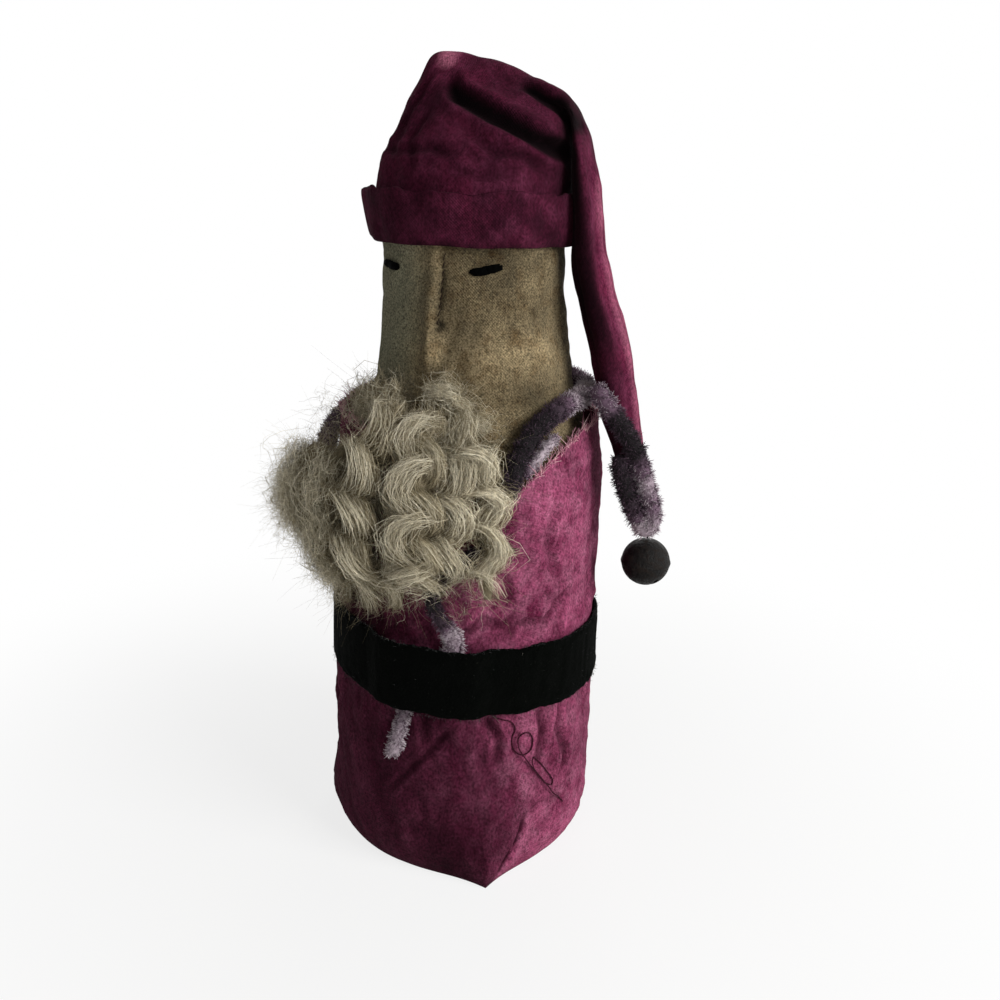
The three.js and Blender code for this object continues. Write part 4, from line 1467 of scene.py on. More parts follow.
@dataclass(frozen=True)
class HatShape:
    """The stocking hat's side outline, in the upright plane that the tail hangs in.

    Each row is one ring of the cloth: its outer and its inner point as (out, up) from the
    doll's axis, half its breadth across the plane, and how much narrower it is at its outer
    side. The rings turn like pages about the fold, from level at the brim to level again in
    the hanging tail.
    """

    tail_angle: float = 100.0
    crown: tuple[tuple[float, ...], ...] = (
        (-34.2, 233.6, 34.2, 233.6, 34.2, 0.0),
        (-34.5, 242.0, 34.2, 242.0, 34.2, 0.0),
        (-34.9, 249.5, 34.1, 249.5, 34.0, 0.02),
        (-33.4, 258.5, 34.0, 256.5, 32.4, 0.05),
        (-29.4, 267.5, 33.8, 262.0, 29.0, 0.1),
        (-25.0, 276.5, 33.8, 266.0, 24.6, 0.18),
        (-20.6, 285.5, 33.9, 269.0, 19.6, 0.28),
        (-15.8, 292.6, 34.0, 270.8, 15.2, 0.4),
        (-8.0, 294.6, 34.2, 271.6, 12.6, 0.45),
        (4.0, 292.0, 34.4, 272.0, 11.6, 0.45),
        (16.0, 288.4, 34.5, 272.0, 11.2, 0.42),
        (26.6, 284.0, 34.6, 271.6, 11.2, 0.34),
        (33.4, 279.4, 34.8, 270.2, 11.6, 0.22),
        (37.4, 272.4, 35.0, 267.8, 12.0, 0.12),
    )
    tail: tuple[tuple[float, ...], ...] = (
        (40.2, 264.6, 35.0, 263.6, 12.2, 0.06),
        (42.6, 255.6, 35.1, 255.6, 12.3, 0.02),
        (44.6, 245.0, 36.2, 245.0, 12.2, 0.0),
        (47.0, 231.5, 36.9, 231.5, 11.8, 0.0),
        (51.0, 216.0, 39.4, 216.0, 11.2, 0.0),
        (56.6, 200.8, 43.8, 200.8, 10.6, 0.0),
        (60.4, 187.0, 47.0, 187.0, 10.0, 0.0),
        (62.8, 173.0, 50.9, 173.0, 9.0, 0.0),
        (64.8, 160.5, 55.4, 160.5, 7.8, 0.0),
        (66.9, 150.3, 59.6, 150.3, 6.4, 0.0),
        (69.0, 142.4, 62.8, 142.4, 4.6, 0.0),
        (70.2, 137.4, 65.4, 137.4, 2.8, 0.0),
    )

    @property
    def rows(self) -> Array:
        """All its rows, the crown's first."""
        return np.array(self.crown + self.tail)


@dataclass
class Hat:
    """The stocking hat: crown and tail in one cloth, and the turned-up cuff."""

    shape: HatShape = field(default_factory=HatShape)
    rings: int = 220
    points: int = 144
    cloth: float = 1.2
    brim_z: float = 232.6
    cuff_w: float = 17.0
    cuff_t: float = 2.0
    cuff_inside: float = 34.65
    cuff_r: float = 37.0
    flare: float = 1.6
    flare_angle: float = -70.0
    fold_reach: tuple[float, float] = (34.5, 35.25)
    fold_z: float = 270.0
    front_folds: tuple[Crease, ...] = (
        Crease(((-9, 288), (-3, 280), (4, 276.5), (12, 273), (22, 268.5), (33, 263), (41, 259)),
               4.0, 2.3, 1.6, 1.35),
        Crease(((15, 285.5), (24, 280), (31, 276), (36, 272), (40, 269)), 2.4, 1.7, 1.2, 1.1),
        Crease(((28, 281), (33, 274), (36, 266)), 1.4, 2.0, 0.2, 0.5),
        Crease(((-13, 289), (-17, 278), (-22, 268)), 0.9, 1.3, 0.8, 0.16),
        Crease(((-30, 264), (-20, 261), (-8, 263), (4, 260)), 0.9, 1.5, 0.5, 0.3),
        Crease(((-22, 282), (-21, 270), (-24, 258)), 0.8, 1.8, 0.5, 0.12),
        Crease(((-10, 276), (-16, 266), (-12, 254)), 0.8, 1.6, 0.5, 0.12),
        Crease(((4, 268), (14, 262), (22, 262), (32, 254)), 1.1, 1.6, 0.7, 0.3),
        Crease(((-2, 258), (10, 254), (20, 255)), 0.8, 1.4, 0.5, 0.2),
    )
    cuff_folds: tuple[Crease, ...] = (
        Crease(((26, 234), (36, 240), (44, 248)), 0.9, 1.3, 0.8, 0.0),
        Crease(((34, 233), (40, 236), (50, 240)), 0.7, 1.2, 0.6, 0.0),
        Crease(((-24, 236), (-14, 240), (-2, 238)), 0.5, 1.4, 0.3, 0.0),
    )
    back_folds: tuple[Crease, ...] = (
        Crease(((-12, 288), (4, 279), (20, 270), (33, 262)), 3.2, 3.4, 1.0, 0.7),
        Crease(((-26, 268), (-12, 262), (6, 264)), 1.0, 2.8, 0.5, 0.3),
        Crease(((10, 256), (22, 260), (32, 256)), 1.0, 2.6, 0.5, 0.3),
    )

    def axes(self) -> tuple[Array, Array]:
        """Unit vectors along the tail's plane, outwards, and across it, to the back."""
        a = math.radians(self.shape.tail_angle)
        return np.array([math.sin(a), -math.cos(a), 0]), np.array([math.cos(a), math.sin(a), 0])

    def cloth_rings(self) -> tuple[Array, Array, Array]:
        """The cloth's rings, and the plane coordinates and side of each point.

        A ring is an ellipse between its outer and inner point, fuller in its inner half where
        crown and tail press on each other. Its half breadth is the row's, less at the outer
        side by the row's pinch.

        Returns:
            The rings, their (out, up) coordinates, and how far each point is to the back,
            from -1 to 1.
        """
        row = through(self.shape.rows, np.linspace(0, 1, self.rings))
        t = circle(self.points)
        outer, inner = row[:, None, 0:2], row[:, None, 2:4]
        reach = np.cos(t)[None, :, None]
        plane = (outer + inner) / 2 + (outer - inner) / 2 * reach
        narrow = 1 - row[:, 5:6] * (1 + np.cos(t)[None]) / 2
        share = np.linspace(0, 1, self.rings)[:, None]
        pressed = smoothstep(share, 0.12, 0.24) * (1 - smoothstep(share, 0.7, 0.9))
        full = 1 - 0.45 * pressed * (np.cos(t) < 0)[None]
        breadth = -row[:, 4:5] * narrow * blunt(np.sin(t)[None], full)
        out, back = self.axes()
        rings = plane[..., :1] * out + breadth[..., None] * back
        rings[..., 2] = plane[..., 1]
        return rings, plane, -np.sin(t)[None] * np.ones((self.rings, 1))

    def build(self, cotton: Material) -> None:
        """Makes the hat's cloth and its cuff.

        The cloth stands off its rings by soft waves, flutes down the tail and the placed
        folds. Painted shade darkens it in the folds, where crown and tail press on each other
        and on the tail's inner side, and painted highlight makes it pale at the crest and along
        the tail's outer edge.

        Args:
            cotton: the cloth's finish.
        """
        rings, plane, side = self.cloth_rings()
        share = np.linspace(0, 1, self.rings)[:, None]
        first_tail = len(self.shape.crown) / (len(self.shape.rows) - 1)
        hanging = smoothstep(share, first_tail - 0.05, first_tail + 0.06)
        height, depth = plane[..., 1], self.outer_edge(share) - plane[..., 0]
        out = 0.4 * Ripple(19, 61).at(rings) + 0.1 * Ripple(6, 62).at(rings)
        flutes = 0.8 * np.sin(2 * math.pi * side * 1.3 + 5 * share)
        flutes = flutes * np.sin(math.pi * np.clip(hanging, 0, 1) * 0.5)
        out = out * (1 - 0.3 * hanging) + flutes * hanging * (1 - smoothstep(share, 0.8, 0.97))
        dark = np.zeros_like(out)
        # Painted shade in the folds, less at the tail's outer shoulder
        rim = 1 - 0.75 * smoothstep(-depth, -4.5, -0.5) * smoothstep(plane[..., 0], 32, 36)
        for folds, facing in ((self.front_folds, -side), (self.back_folds, side)):
            mask = smoothstep(facing, 0.0, 0.3)
            for fold in folds:
                inward, deep = fold.at(plane)
                out = out + inward * mask * (1 - hanging)
                dark = dark + deep * mask * (1 - hanging) * rim
        # Painted shadow in the pocket between crown and tail; painted shade where the cloth sinks
        painted_pocket_shadow = hump(plane[..., 0] - 35, 4.2) * smoothstep(height, 236, 250)
        dark = dark + 0.7 * painted_pocket_shadow * (0.5 + 0.5 * (1 - hanging)) - 0.1 * out
        # Painted shade on the tail's inner side, which faces the head, and low down the tail
        inside = smoothstep(depth / (7 + 3 * smoothstep(height, 240, 200)), 0.3, 0.75)
        low = 1 - smoothstep(height, 160, 190)
        painted_inner_shade = smoothstep(depth, 1.5, 4.2) * smoothstep(height, 182, 212)
        dark = dark + hanging * (0.85 * painted_inner_shade + 0.62 * inside * low)
        # Painted highlight at the crest and along the tail's outer edge
        painted_crest_highlight = 2.4 * hump(plane[..., 0] + 9, 7.5) * smoothstep(height, 281, 291)
        dark = dark - 0.42 * painted_crest_highlight - 0.75 * hanging * smoothstep(-depth, -5.5, -0.5)
        brim = smoothstep(height, 247, 254) * (1 - hanging) + hanging
        tip = 1 - smoothstep(share, 0.9, 0.99)
        pressed = 1 - hump(plane[..., 0] - 35.5, 3.2) * smoothstep(height, 228, 238)
        surface_out = np.clip(out, -4.5, 1.8) * brim * tip * pressed
        rings = rings + normals(rings) * surface_out[..., None]
        girth = np.linalg.norm(np.roll(rings, -1, 1) - rings, axis=2).sum(1)[:, None]
        u = np.linspace(-0.5, 0.5, self.points + 1)[None] * girth
        uv = chart_of(u, travelled(rings)[:, None])
        hat = skin(rings, uv, {"shade": np.clip(dark, -1, 1)}, (False, True)).to_object("hat_cloth")
        thick = hat.modifiers.new("cloth thickness", "SOLIDIFY")
        thick.thickness = self.cloth * MM
        thick.offset = -1
        dressed(hat, "hat_cloth", cotton, None, "hat_cotton", "hat_crown", "hat_tail")
        fold = [reach * self.axes()[0] + [0, 0, self.fold_z] for reach in self.fold_reach]
        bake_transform(hat)
        self.build_cuff(cotton)

    def outer_edge(self, share: Array) -> Array:
        """How far out the tail's outer side is at a share of the cloth's rings."""
        return through(self.shape.rows[:, :1], share[..., 0])

    def build_cuff(self, cotton: Material) -> None:
        """Makes the cuff: a turned-up band whose section is a superellipse, leaning outwards.

        Args:
            cotton: the cloth's finish.
        """
        angle = circle(320, 360)[:, None]
        t = circle(48)[None]
        high = blunt(np.sin(t), 0.35)
        deep = blunt(np.cos(t), 0.7)
        lean = 0.2 + self.flare * hump(turned(angle - self.flare_angle), 80)
        spots = place(angle, self.cuff_r, 240)
        wander = 0.35 * Ripple(11, 71).at(spots) + 0.2 * Ripple(4, 72).at(spots)
        up = (high + 1) / 2
        wander = wander * smoothstep(up, 0.5, 1) + 0.25 * Ripple(20, 73).at(spots) * (1 - up)
        z = self.brim_z + 0.1 + self.cuff_w * up + wander
        middle = self.cuff_inside + 0.12 + self.cuff_t / 2 + lean * up
        corner = 1.4 * hump(turned(angle + 66), 9) * up**2 - 0.8 * hump(turned(angle - 70), 10) * up
        relief = 0.4 * Ripple(17, 74, (1, 1, 0.5)).at(place(angle, self.cuff_r, z)) + corner
        chart = chart_of(turned(angle) * math.radians(1) * self.cuff_r, z)
        for fold in self.cuff_folds:
            relief = relief + fold.at(chart)[0]
        relief = np.where(deep > 0, relief, 0.15 * relief) * smoothstep(np.abs(deep), 0, 0.6)
        rings = place(angle, middle + self.cuff_t / 2 * deep + relief, z)
        around = np.linalg.norm(np.roll(rings, -1, 1) - rings, axis=2).mean(0)
        uv = chart_of(angle * math.radians(1) * self.cuff_r, np.append(0, np.cumsum(around))[None])
        # Painted shade along the cuff's fold at the brim and inside its top edge
        painted_edge_shade = hump(up - 0.02, 0.06) * 0.2 + hump(up - 1, 0.08) * 0.25 * (deep < 0.4)
        shade = 0.14 + 0.1 * Ripple(9, 75).at(rings) + painted_edge_shade
        closed = np.concatenate([rings, rings[:1]])
        closed_uv = np.concatenate([uv, uv[:1] + np.array([math.radians(360) * self.cuff_r, 0])])
        band = skin(closed, closed_uv, {"shade": np.concatenate([shade, shade[:1]])}, (False, False))
        band = weld_ends(band, len(rings), rings.shape[1])
        cuff = dressed(band, "hat_cuff_cloth", cotton, Body.DOLL, "hat_cotton", "hat_cuff")


def weld_ends(surface: Surface, rings: int, points: int) -> Surface:
    """Joins the last ring of a closed band to its first, so that the band has no seam.

    Args:
        surface: a skin whose last ring repeats its first.
        rings: how many rings it has without the repeat.
        points: points in a ring.

    Returns:
        The surface without the repeated ring.
    """
    total = rings * points
    faces = [np.where(f >= total, f - total, f) for f in surface.faces]
    values = {key: value[:total] for key, value in surface.values.items()}
    return Surface(surface.points[:total], faces, surface.uvs, values)


@dataclass
class Bell:
    """The small jingle bell: a slotted shell, its wire loop, and the thread that ties it."""

    radius: float = 8.9
    wall: float = 0.6
    centre_r: float = 69.5
    centre_z: float = 119.2
    angle: float = 100.0
    slot: float = 1.5
    loop_r: float = 1.9
    loop_wire: float = 0.45
    tie_r: float = 2.2
    tie_wire: float = 0.35

    def centre(self) -> Array:
        """The middle of the shell."""
        return place(self.angle, self.centre_r, self.centre_z)

    def build(self, tin: Material, thread: Material) -> None:
        """Makes the shell, the loop and the tie.

        Args:
            tin: the shell's and loop's finish.
            thread: the tie's finish.
        """
        dressed(self.shell(), "bell_tin_shell", tin, Body.BELL, "bell_metal", "bell_shell")
        loop_z = self.radius + GAP + self.loop_wire + self.loop_r
        out = place(self.angle, 1.0, 0)
        back = place(self.angle + 90, 1.0, 0)
        loop = self.ring(loop_z, self.loop_r, self.loop_wire, back)
        dressed(loop, "bell_wire_loop", tin, Body.BELL, "bell_metal", "bell_loop")
        pivot = loop_z + self.loop_r - self.loop_wire - GAP - self.tie_wire
        tie = self.ring(pivot + self.tie_r, self.tie_r, self.tie_wire, out)
        dressed(tie, "bell_tie_thread", thread, Body.TAIL, "dark_thread", "bell_tie")

    def ring(self, up: float, radius: float, wire: float, side: Array) -> Surface:
        """A wire ring above the shell, a circle in the upright plane of a side vector.

        Args:
            up: its middle's height over the shell's.
            radius: its middle line's radius.
            wire: the wire's radius.
            side: the plane's level direction.

        Returns:
            The ring, without a seam.
        """
        t = np.linspace(0, 2 * math.pi, 41)
        z = np.array([0, 0, 1.0])
        middle = self.centre() + up * z + radius * (np.cos(t)[:, None] * side + np.sin(t)[:, None] * z)
        s = circle(12)
        radial = unit(middle - self.centre() - up * z)
        across = np.cross(side, z)
        section = np.cos(s)[None, :, None] * radial[:, None] + np.sin(s)[None, :, None] * across
        rings = middle[:, None] + wire * section
        uv = np.stack(np.meshgrid(np.linspace(0, 2.8, 13), t * radius), -1)
        return weld_ends(skin(rings, uv, capped=(False, False)), 40, 12)

    def shell(self) -> Piece:
        """The hollow ball with a raised seam, cut by a cross of two slots from below.

        Returns:
            The shell's object.
        """
        parts = []
        for r, seam in ((self.radius, self.wall / 2), (self.radius - self.wall, 0.0)):
            high = np.linspace(-0.5, 0.5, 61) * math.pi
            lip = seam * hump(np.degrees(high), 5.5)
            spin = circle(96)[None]
            dent = 1 + 0.012 * np.sin(2 * spin + 1)
            flat = ((r + lip) * np.cos(high))[:, None]
            flat[0] = flat[-1] = 0.02
            up = (r * np.sin(high))[:, None] * np.ones_like(spin)
            rings = np.stack([flat * np.cos(spin) * dent, flat * np.sin(spin) * dent, up], -1)
            parts.append(skin(rings + self.centre()))
        parts[1].faces = [f[:, ::-1] for f in parts[1].faces]
        ball = parts[0].joined(parts[1]).to_object("bell_tin_shell")
        for turn in (45, 135):
            cutter = self.slot_cutter(turn + self.angle)
            cut = ball.modifiers.new("slot", "BOOLEAN")
            cut.operation, cut.solver, cut.object = "DIFFERENCE", "EXACT", cutter
            self.apply(ball)
            bpy.data.objects.remove(cutter)
        return ball

    def slot_cutter(self, angle: float) -> Piece:
        """A flat block with round ends that cuts one slot through the lower half.

        Args:
            angle: which way the slot runs.

        Returns:
            The block's object.
        """
        t = circle(48)
        long = 0.85 * self.radius
        x = np.sign(np.cos(t)) * (long - self.slot / 2) + self.slot / 2 * np.cos(t)
        y = self.slot / 2 * np.sin(t)
        side, across = place(angle, 1.0, 0), place(angle + 90, 1.0, 0)
        top = -0.2 * self.radius
        outline = x[:, None] * side + y[:, None] * across
        rings = [outline + np.array([0, 0, h]) for h in (top - 1.2 * self.radius, top)]
        return skin(np.array(rings) + self.centre()).to_object("cutter")

    @staticmethod
    def apply(piece: Piece) -> None:
        """Makes the piece's modifiers part of its mesh.

        Args:
            piece: the piece.
        """
        graph = bpy.context.evaluated_depsgraph_get()
        mesh = bpy.data.meshes.new_from_object(piece.evaluated_get(graph))
        piece.modifiers.clear()
        piece.data = mesh
        mesh.shade_smooth()


@dataclass(frozen=True)
class Curl:
    """How the hairs of a lock run.

    Args:
        strands: how many curls wind down the lock side by side.
        bunches: bunches of hairs in a strand.
        hairs: hairs in a bunch.
        swing: how far a strand winds across the lock.
        wind: how far it winds off the body.
        loop: how far it goes to and fro along the lock, which opens its waves into rings.
        pitch: the length of one wave.
        scatter: how far apart the phases of one strand's bunches lie, in radians.
        spread: how far a hair lies from its strand's middle.
        loose: how far a hair wanders off.
        width: how far the strands lie from the lock's middle, as a share of its radius.
        rise: how far the hairs begin above the lock's root.
        reach: how far they run on past its tip.
        under: fine hairs close on the lock's core.
        tone: how light the hairs are.
        core: the radius of the core, whose dark tone is painted shade, as a share of the lock's, or 0 for
            none.
    """

    strands: int
    bunches: int
    hairs: int
    swing: float
    wind: float
    loop: float
    pitch: float
    scatter: float
    spread: float
    loose: float
    width: float
    rise: float
    reach: float
    under: int
    tone: float
    core: float = 0.5


class LockCharacter(Enum):
    """How a lock was handled: left in its curl, combed over, teased out, or thinned to a blur."""

    CURLED = Curl(strands=2, bunches=7, hairs=20, swing=4.9, wind=2.6, loop=3.7, pitch=14.6,
                  scatter=0.25, spread=1.1, loose=1.1, width=0.5, rise=4.0, reach=3.0, under=420, tone=0.39)
    COMBED = Curl(strands=4, bunches=4, hairs=18, swing=1.6, wind=1.2, loop=0.5, pitch=17,
                  scatter=0.4, spread=0.8, loose=0.7, width=0.8, rise=3.0, reach=2.0, under=260, tone=0.52)
    TEASED = Curl(strands=26, bunches=2, hairs=4, swing=1.7, wind=1.4, loop=1.2, pitch=8,
                  scatter=1.5, spread=0.8, loose=2.3, width=0.85, rise=0.0, reach=2.0, under=1000, tone=0.53)
    # SPARSE's tone of 1 is partly painted light: these thin locks lie in shade yet are made pale
    SPARSE = Curl(strands=11, bunches=2, hairs=4, swing=1.7, wind=1.4, loop=1.2, pitch=8,
                  scatter=1.5, spread=1.0, loose=2.6, width=0.85, rise=0.0, reach=1.0, under=760, tone=1.0,
                  core=0.0)


@dataclass
class Beard:
    """The mohair beard: each lock many waved hairs and fine fuzz over a painted-shade core, and strays."""

    nodes: dict[str, Piece]
    steps: int = 28
    combed: tuple[int, ...] = (2,)
    teased: tuple[int, ...] = (1, 4, 5, 10, 11)
    sparse: tuple[int, ...] = (3, 9)
    late: tuple[tuple[int, float], ...] = ((3, 0.34), (4, 0.2), (5, 0.14), (9, 0.42), (10, 0.2), (11, 0.14))
    moved: tuple[tuple[int, tuple[float, float, float]], ...] = (
        (1, (0.5, 0.0, 4.5)), (3, (2.0, 0.0, 9.5)), (4, (0.0, 0.0, 4.0)), (5, (0.0, 0.0, 9.0)),
        (6, (0.0, 0.0, 2.5)), (9, (5.0, 0.0, 12.5)), (10, (3.0, 0.0, 8.0)), (11, (0.0, 0.0, 6.0)),
        (8, (0.0, 2.5, 0.0)), (13, (0.0, 4.0, 0.0)), (14, (0.0, 8.0, 0.0)))
    light: tuple[tuple[int, float], ...] = (
        (10, 0.12), (4, 0.06), (1, -0.1), (14, 0.12), (13, 0.08), (8, 0.06))
    hair: float = 0.085
    frizz: int = 780
    stray_count: int = 1300

    def middle_line(self, node: str) -> tuple[Array, float]:
        """A lock's middle line and radius, from its CAD solid.

        The solid's corners are sorted along its longest direction and averaged in equal
        groups.

        Args:
            node: the lock's CAD node.

        Returns:
            Nine points of the middle line from the root to the tip, and the lock's radius.
        """
        corners = np.array([v.co for v in self.nodes[node].data.vertices], float) / MM
        corners = np.unique(corners.round(3), axis=0)
        centre = corners.mean(0)
        axis = np.linalg.svd(corners - centre, full_matrices=False)[2][0]
        along = (corners - centre) @ axis
        groups = np.array_split(np.argsort(along), 9)
        line = np.array([corners[g].mean(0) for g in groups])
        if line[0, 2] < line[-1, 2]:
            line = line[::-1]
        off = corners[:, None] - line[None]
        radius = float(np.percentile(np.linalg.norm(off, axis=2).min(1), 70))
        return line, max(radius, 3.2)

    def build(self, mohair: Material) -> None:
        """Makes one piece for each lock, and one of stray hairs.

        Args:
            mohair: the hairs' finish.
        """
        handled = {number: character for character, numbers in (
            (LockCharacter.TEASED, self.teased), (LockCharacter.COMBED, self.combed),
            (LockCharacter.SPARSE, self.sparse)) for number in numbers}
        for number in range(1, 15):
            node = f"beard_lock_{number:02d}"
            surface = self.lock(node, number, handled.get(number, LockCharacter.CURLED).value)
            dressed(surface, f"mohair_lock_{number:02d}", mohair, Body.DOLL, "wool_locks", node)
        dressed(self.strays(), "stray_hairs", mohair, Body.DOLL, "wool_locks")

    def guide(self, node: str, number: int, curl: Curl) -> tuple[Array, float]:
        """A lock's middle line as its hairs follow it, and its radius.

        The line is moved in, aside towards its tip and down by the lock's own amounts, then
        runs on past both ends by the curl's rise and reach.

        Args:
            node: the lock's CAD node.
            number: the lock's number.
            curl: how its hairs run.

        Returns:
            The line's points at equal steps, and the radius.
        """
        line, radius = self.middle_line(node)
        inward, aside, down = dict(self.moved).get(number, (0.0, 0.0, 0.0))
        out = unit(line * [1, 1, 0])
        side = np.cross([0, 0, 1], out)
        aside = aside * np.linspace(0, 1, 9)[:, None] * side
        line = line - inward * out + aside - np.array([0, 0, down])
        rise = unit(line[0] - line[1]) * curl.rise - 0.25 * curl.rise * out[0]
        reach = unit(line[-1] - line[-2]) * curl.reach
        line = np.concatenate([(line[0] + rise)[None], line, (line[-1] + reach)[None]])
        return evenly(through(line, np.linspace(0, 1, 80)), self.steps), radius

    def lock(self, node: str, number: int, curl: Curl) -> Surface:
        """One lock.

        A strand of hairs winds along the lock's middle line as a screw: across the lock by
        the sine of its phase, off the body and to and fro along the lock by the cosine, and
        the phase grows by a full turn with each pitch. A hair keeps its own place in its
        strand, lags a little, and wanders off by five slow sines. Its tone is painted shade and
        highlight: the deeper a hair lies, the darker it is.

        Args:
            node: the lock's CAD node.
            number: the lock's number, for its own random draws.
            curl: how its hairs run.

        Returns:
            The lock's surface with its tones.
        """
        rng = np.random.default_rng(200 + number)
        line, radius = self.guide(node, number, curl)
        along, out, across = carried_frames(line)
        length = float(np.linalg.norm(np.diff(line, axis=0), axis=1).sum())
        share = np.linspace(0, 1, self.steps)
        n, per = curl.strands, curl.bunches * curl.hairs
        m = n * per
        strand = np.repeat(np.arange(n), per)
        bunch = np.repeat(np.arange(n * curl.bunches), curl.hairs)
        spot = 2 * math.pi * (np.arange(n) / n + rng.uniform(0, 1)) + rng.normal(0, 0.4, n)
        away = np.sqrt(rng.uniform(0.3, 1, n)) * curl.width * radius
        side, depth = (away * np.cos(spot))[strand, None], (0.8 * away * np.sin(spot))[strand, None]
        turns = length / curl.pitch / rng.uniform(0.86, 1.14, n)
        slowly = 2 * math.pi * share[None] * rng.uniform(0.7, 1.6, (n, 1))
        wander = np.sin(slowly + rng.uniform(0, 6, (n, 1)))
        phase = 2 * math.pi * turns[:, None] * share[None] + rng.uniform(0, 6.3, (n, 1))
        wave = (phase + 0.45 * wander)[strand]
        wave = wave + (rng.uniform(-1, 1, len(bunch) // curl.hairs) * curl.scatter)[bunch, None]
        frayed = np.where(np.arange(n) % 2, 2.0, 0.95)[strand, None]
        wave = wave + rng.normal(0, 0.22, (m, 1)) * frayed
        hand = np.where(rng.random(n) < 0.3, 1, -1)[strand, None]
        size = rng.uniform(0.72, 1.22, n)[strand, None] * rng.normal(1, 0.14, (m, 1)).clip(0.5, 1.5)
        size = size * (0.35 + 0.65 * smoothstep(share, 0.02, 0.25))[None]
        close = (0.7 + 0.3 * smoothstep(share, 0, 0.3)) * (1 - 0.4 * smoothstep(share, 0.72, 1))
        own = rng.normal(0, 1, (m, 2)).clip(-2.4, 2.4) * np.array([1, 0.7]) * curl.spread * frayed
        slow = np.stack([np.sin(2 * math.pi * share * k + k) for k in (0.6, 1.3, 2.4, 4.7, 5.2)])
        astray = np.einsum("nck,ks->ncs", rng.normal(0, 1, (m, 2, 5)), slow) * curl.loose * 0.6
        astray = astray * np.where(rng.random(m) < 0.2, 2.2, 1)[:, None, None]
        x = side * close + own[:, :1] + astray[:, 0] + hand * curl.swing * size * np.sin(wave)
        y = depth * close + own[:, 1:] + 0.7 * astray[:, 1] + curl.wind * size * np.cos(wave - 0.7)
        y = np.maximum(y, 0.3 - 0.9 * radius)
        forth = -curl.loop * size * np.cos(wave)
        paths = line[None] + x[..., None] * across[None] + y[..., None] * out[None]
        paths = paths + forth[..., None] * along[None]
        late = dict(self.late).get(number, 0.0)
        first, last = rng.uniform(late, late + 0.1, (m, 1)), rng.uniform(0.84, 1.0, (m, 1))
        at = (first + (last - first) * np.linspace(0, 1, self.steps)[None]) * (self.steps - 1)
        i = np.minimum(at.astype(int), self.steps - 2)
        f = (at - i)[..., None]
        rows = np.arange(m)[:, None]
        paths = paths[rows, i] * (1 - f) + paths[rows, i + 1] * f
        high = y[rows, i] * (1 - f[..., 0]) + y[rows, i + 1] * f[..., 0]
        pale = curl.tone + dict(self.light).get(number, 0.0)
        # Painted shade and highlight: a hair is darker the deeper it lies, lighter on the crests
        tone = pale + 0.95 * (smoothstep(high, -4.5, 6.5) - 0.5) + rng.normal(0, 0.13, (m, 1))
        swell = np.sin(np.linspace(0.3, 2.9, self.steps))[None] ** 0.4
        thin = self.hair * rng.uniform(0.6, 1.2, (m, 1)) * swell
        hairs = fibres(paths, thin, np.clip(tone, 0, 1))
        start = int(late * self.steps)
        core = (line - 0.42 * radius * out)[start:]
        taper = np.sin(np.linspace(0.35, 2.85, len(core))) ** 0.5
        solid = tube(core, curl.core * radius * taper, 12)
        # The core's half tone is painted shade between the hairs
        inner = Surface(solid.points, solid.faces, [], {"tone": np.full(len(solid.points), 0.5 * pale)})
        where = rng.integers(1, self.steps - 2, self.frizz)
        some = rng.integers(0, m, (3, self.frizz))
        which = some[np.argmax(high[some, where], axis=0), np.arange(self.frizz)]
        root = paths[which, where]
        heading = 0.5 * unit(paths[which, where + 1] - root) + 0.24 * out[where]
        fuzz = self.wisps(rng, root, heading, (1.5, 7.5), pale + rng.uniform(-0.1, 0.5, self.frizz))
        where = rng.integers(start, self.steps, curl.under)
        round_by = rng.uniform(-1.9, 1.9, (curl.under, 1))
        off = np.cos(round_by) * out[where] + np.sin(round_by) * across[where]
        wide = 0.5 * radius * np.interp(where, np.linspace(start, self.steps - 1, len(core)), taper)[:, None]
        root = line[where] - 0.42 * radius * out[where] + off * wide
        heading = rng.normal(0.35, 0.6, (curl.under, 1)) * along[where]
        heading = heading + 0.5 * off * rng.random((curl.under, 1))
        # The fine hairs on the core are painted darker, as shade under the curls
        under = self.wisps(rng, root, heading, (3, 12), pale - 0.2 + rng.uniform(-0.15, 0.3, curl.under))
        whole = hairs.joined(fuzz).joined(under)
        return whole.joined(inner) if curl.core else whole

    def wisps(self, rng: np.random.Generator, root: Array, heading: Array, lengths: tuple[float, float],
              tone: Array) -> Surface:
        """Fine hairs: root + length (t heading + 0.6 t squared bend), and a small sine across.

        Args:
            rng: the random draws.
            root: where each hair starts.
            heading: where it goes, before its own scatter.
            lengths: the shortest and the longest hair.
            tone: how light each hair is.

        Returns:
            The hairs.
        """
        n, steps = len(root), 6
        heading = unit(heading + rng.normal(0, 0.5, (n, 3)))
        bend = rng.normal(0, 0.95, (n, 3))
        long = (lengths[0] + (lengths[1] - lengths[0]) * rng.beta(1.6, 2.6, n))[:, None, None]
        t = np.linspace(0, 1, steps)[None, :, None]
        sway = unit(np.cross(heading, bend))[:, None] * rng.uniform(0.04, 0.17, (n, 1, 1)) * long
        wave = np.sin(t * rng.uniform(3, 9, (n, 1, 1)) + rng.uniform(0, 6, (n, 1, 1)))
        arc = root[:, None] + long * (t * heading[:, None] + 0.6 * t**2 * bend[:, None]) + sway * wave
        thick = 0.55 * self.hair * np.linspace(1, 0.3, steps)[None] * rng.uniform(0.8, 1.3, (n, 1))
        return fibres(arc, thick, np.clip(tone[:, None] * np.ones(steps), 0, 1))

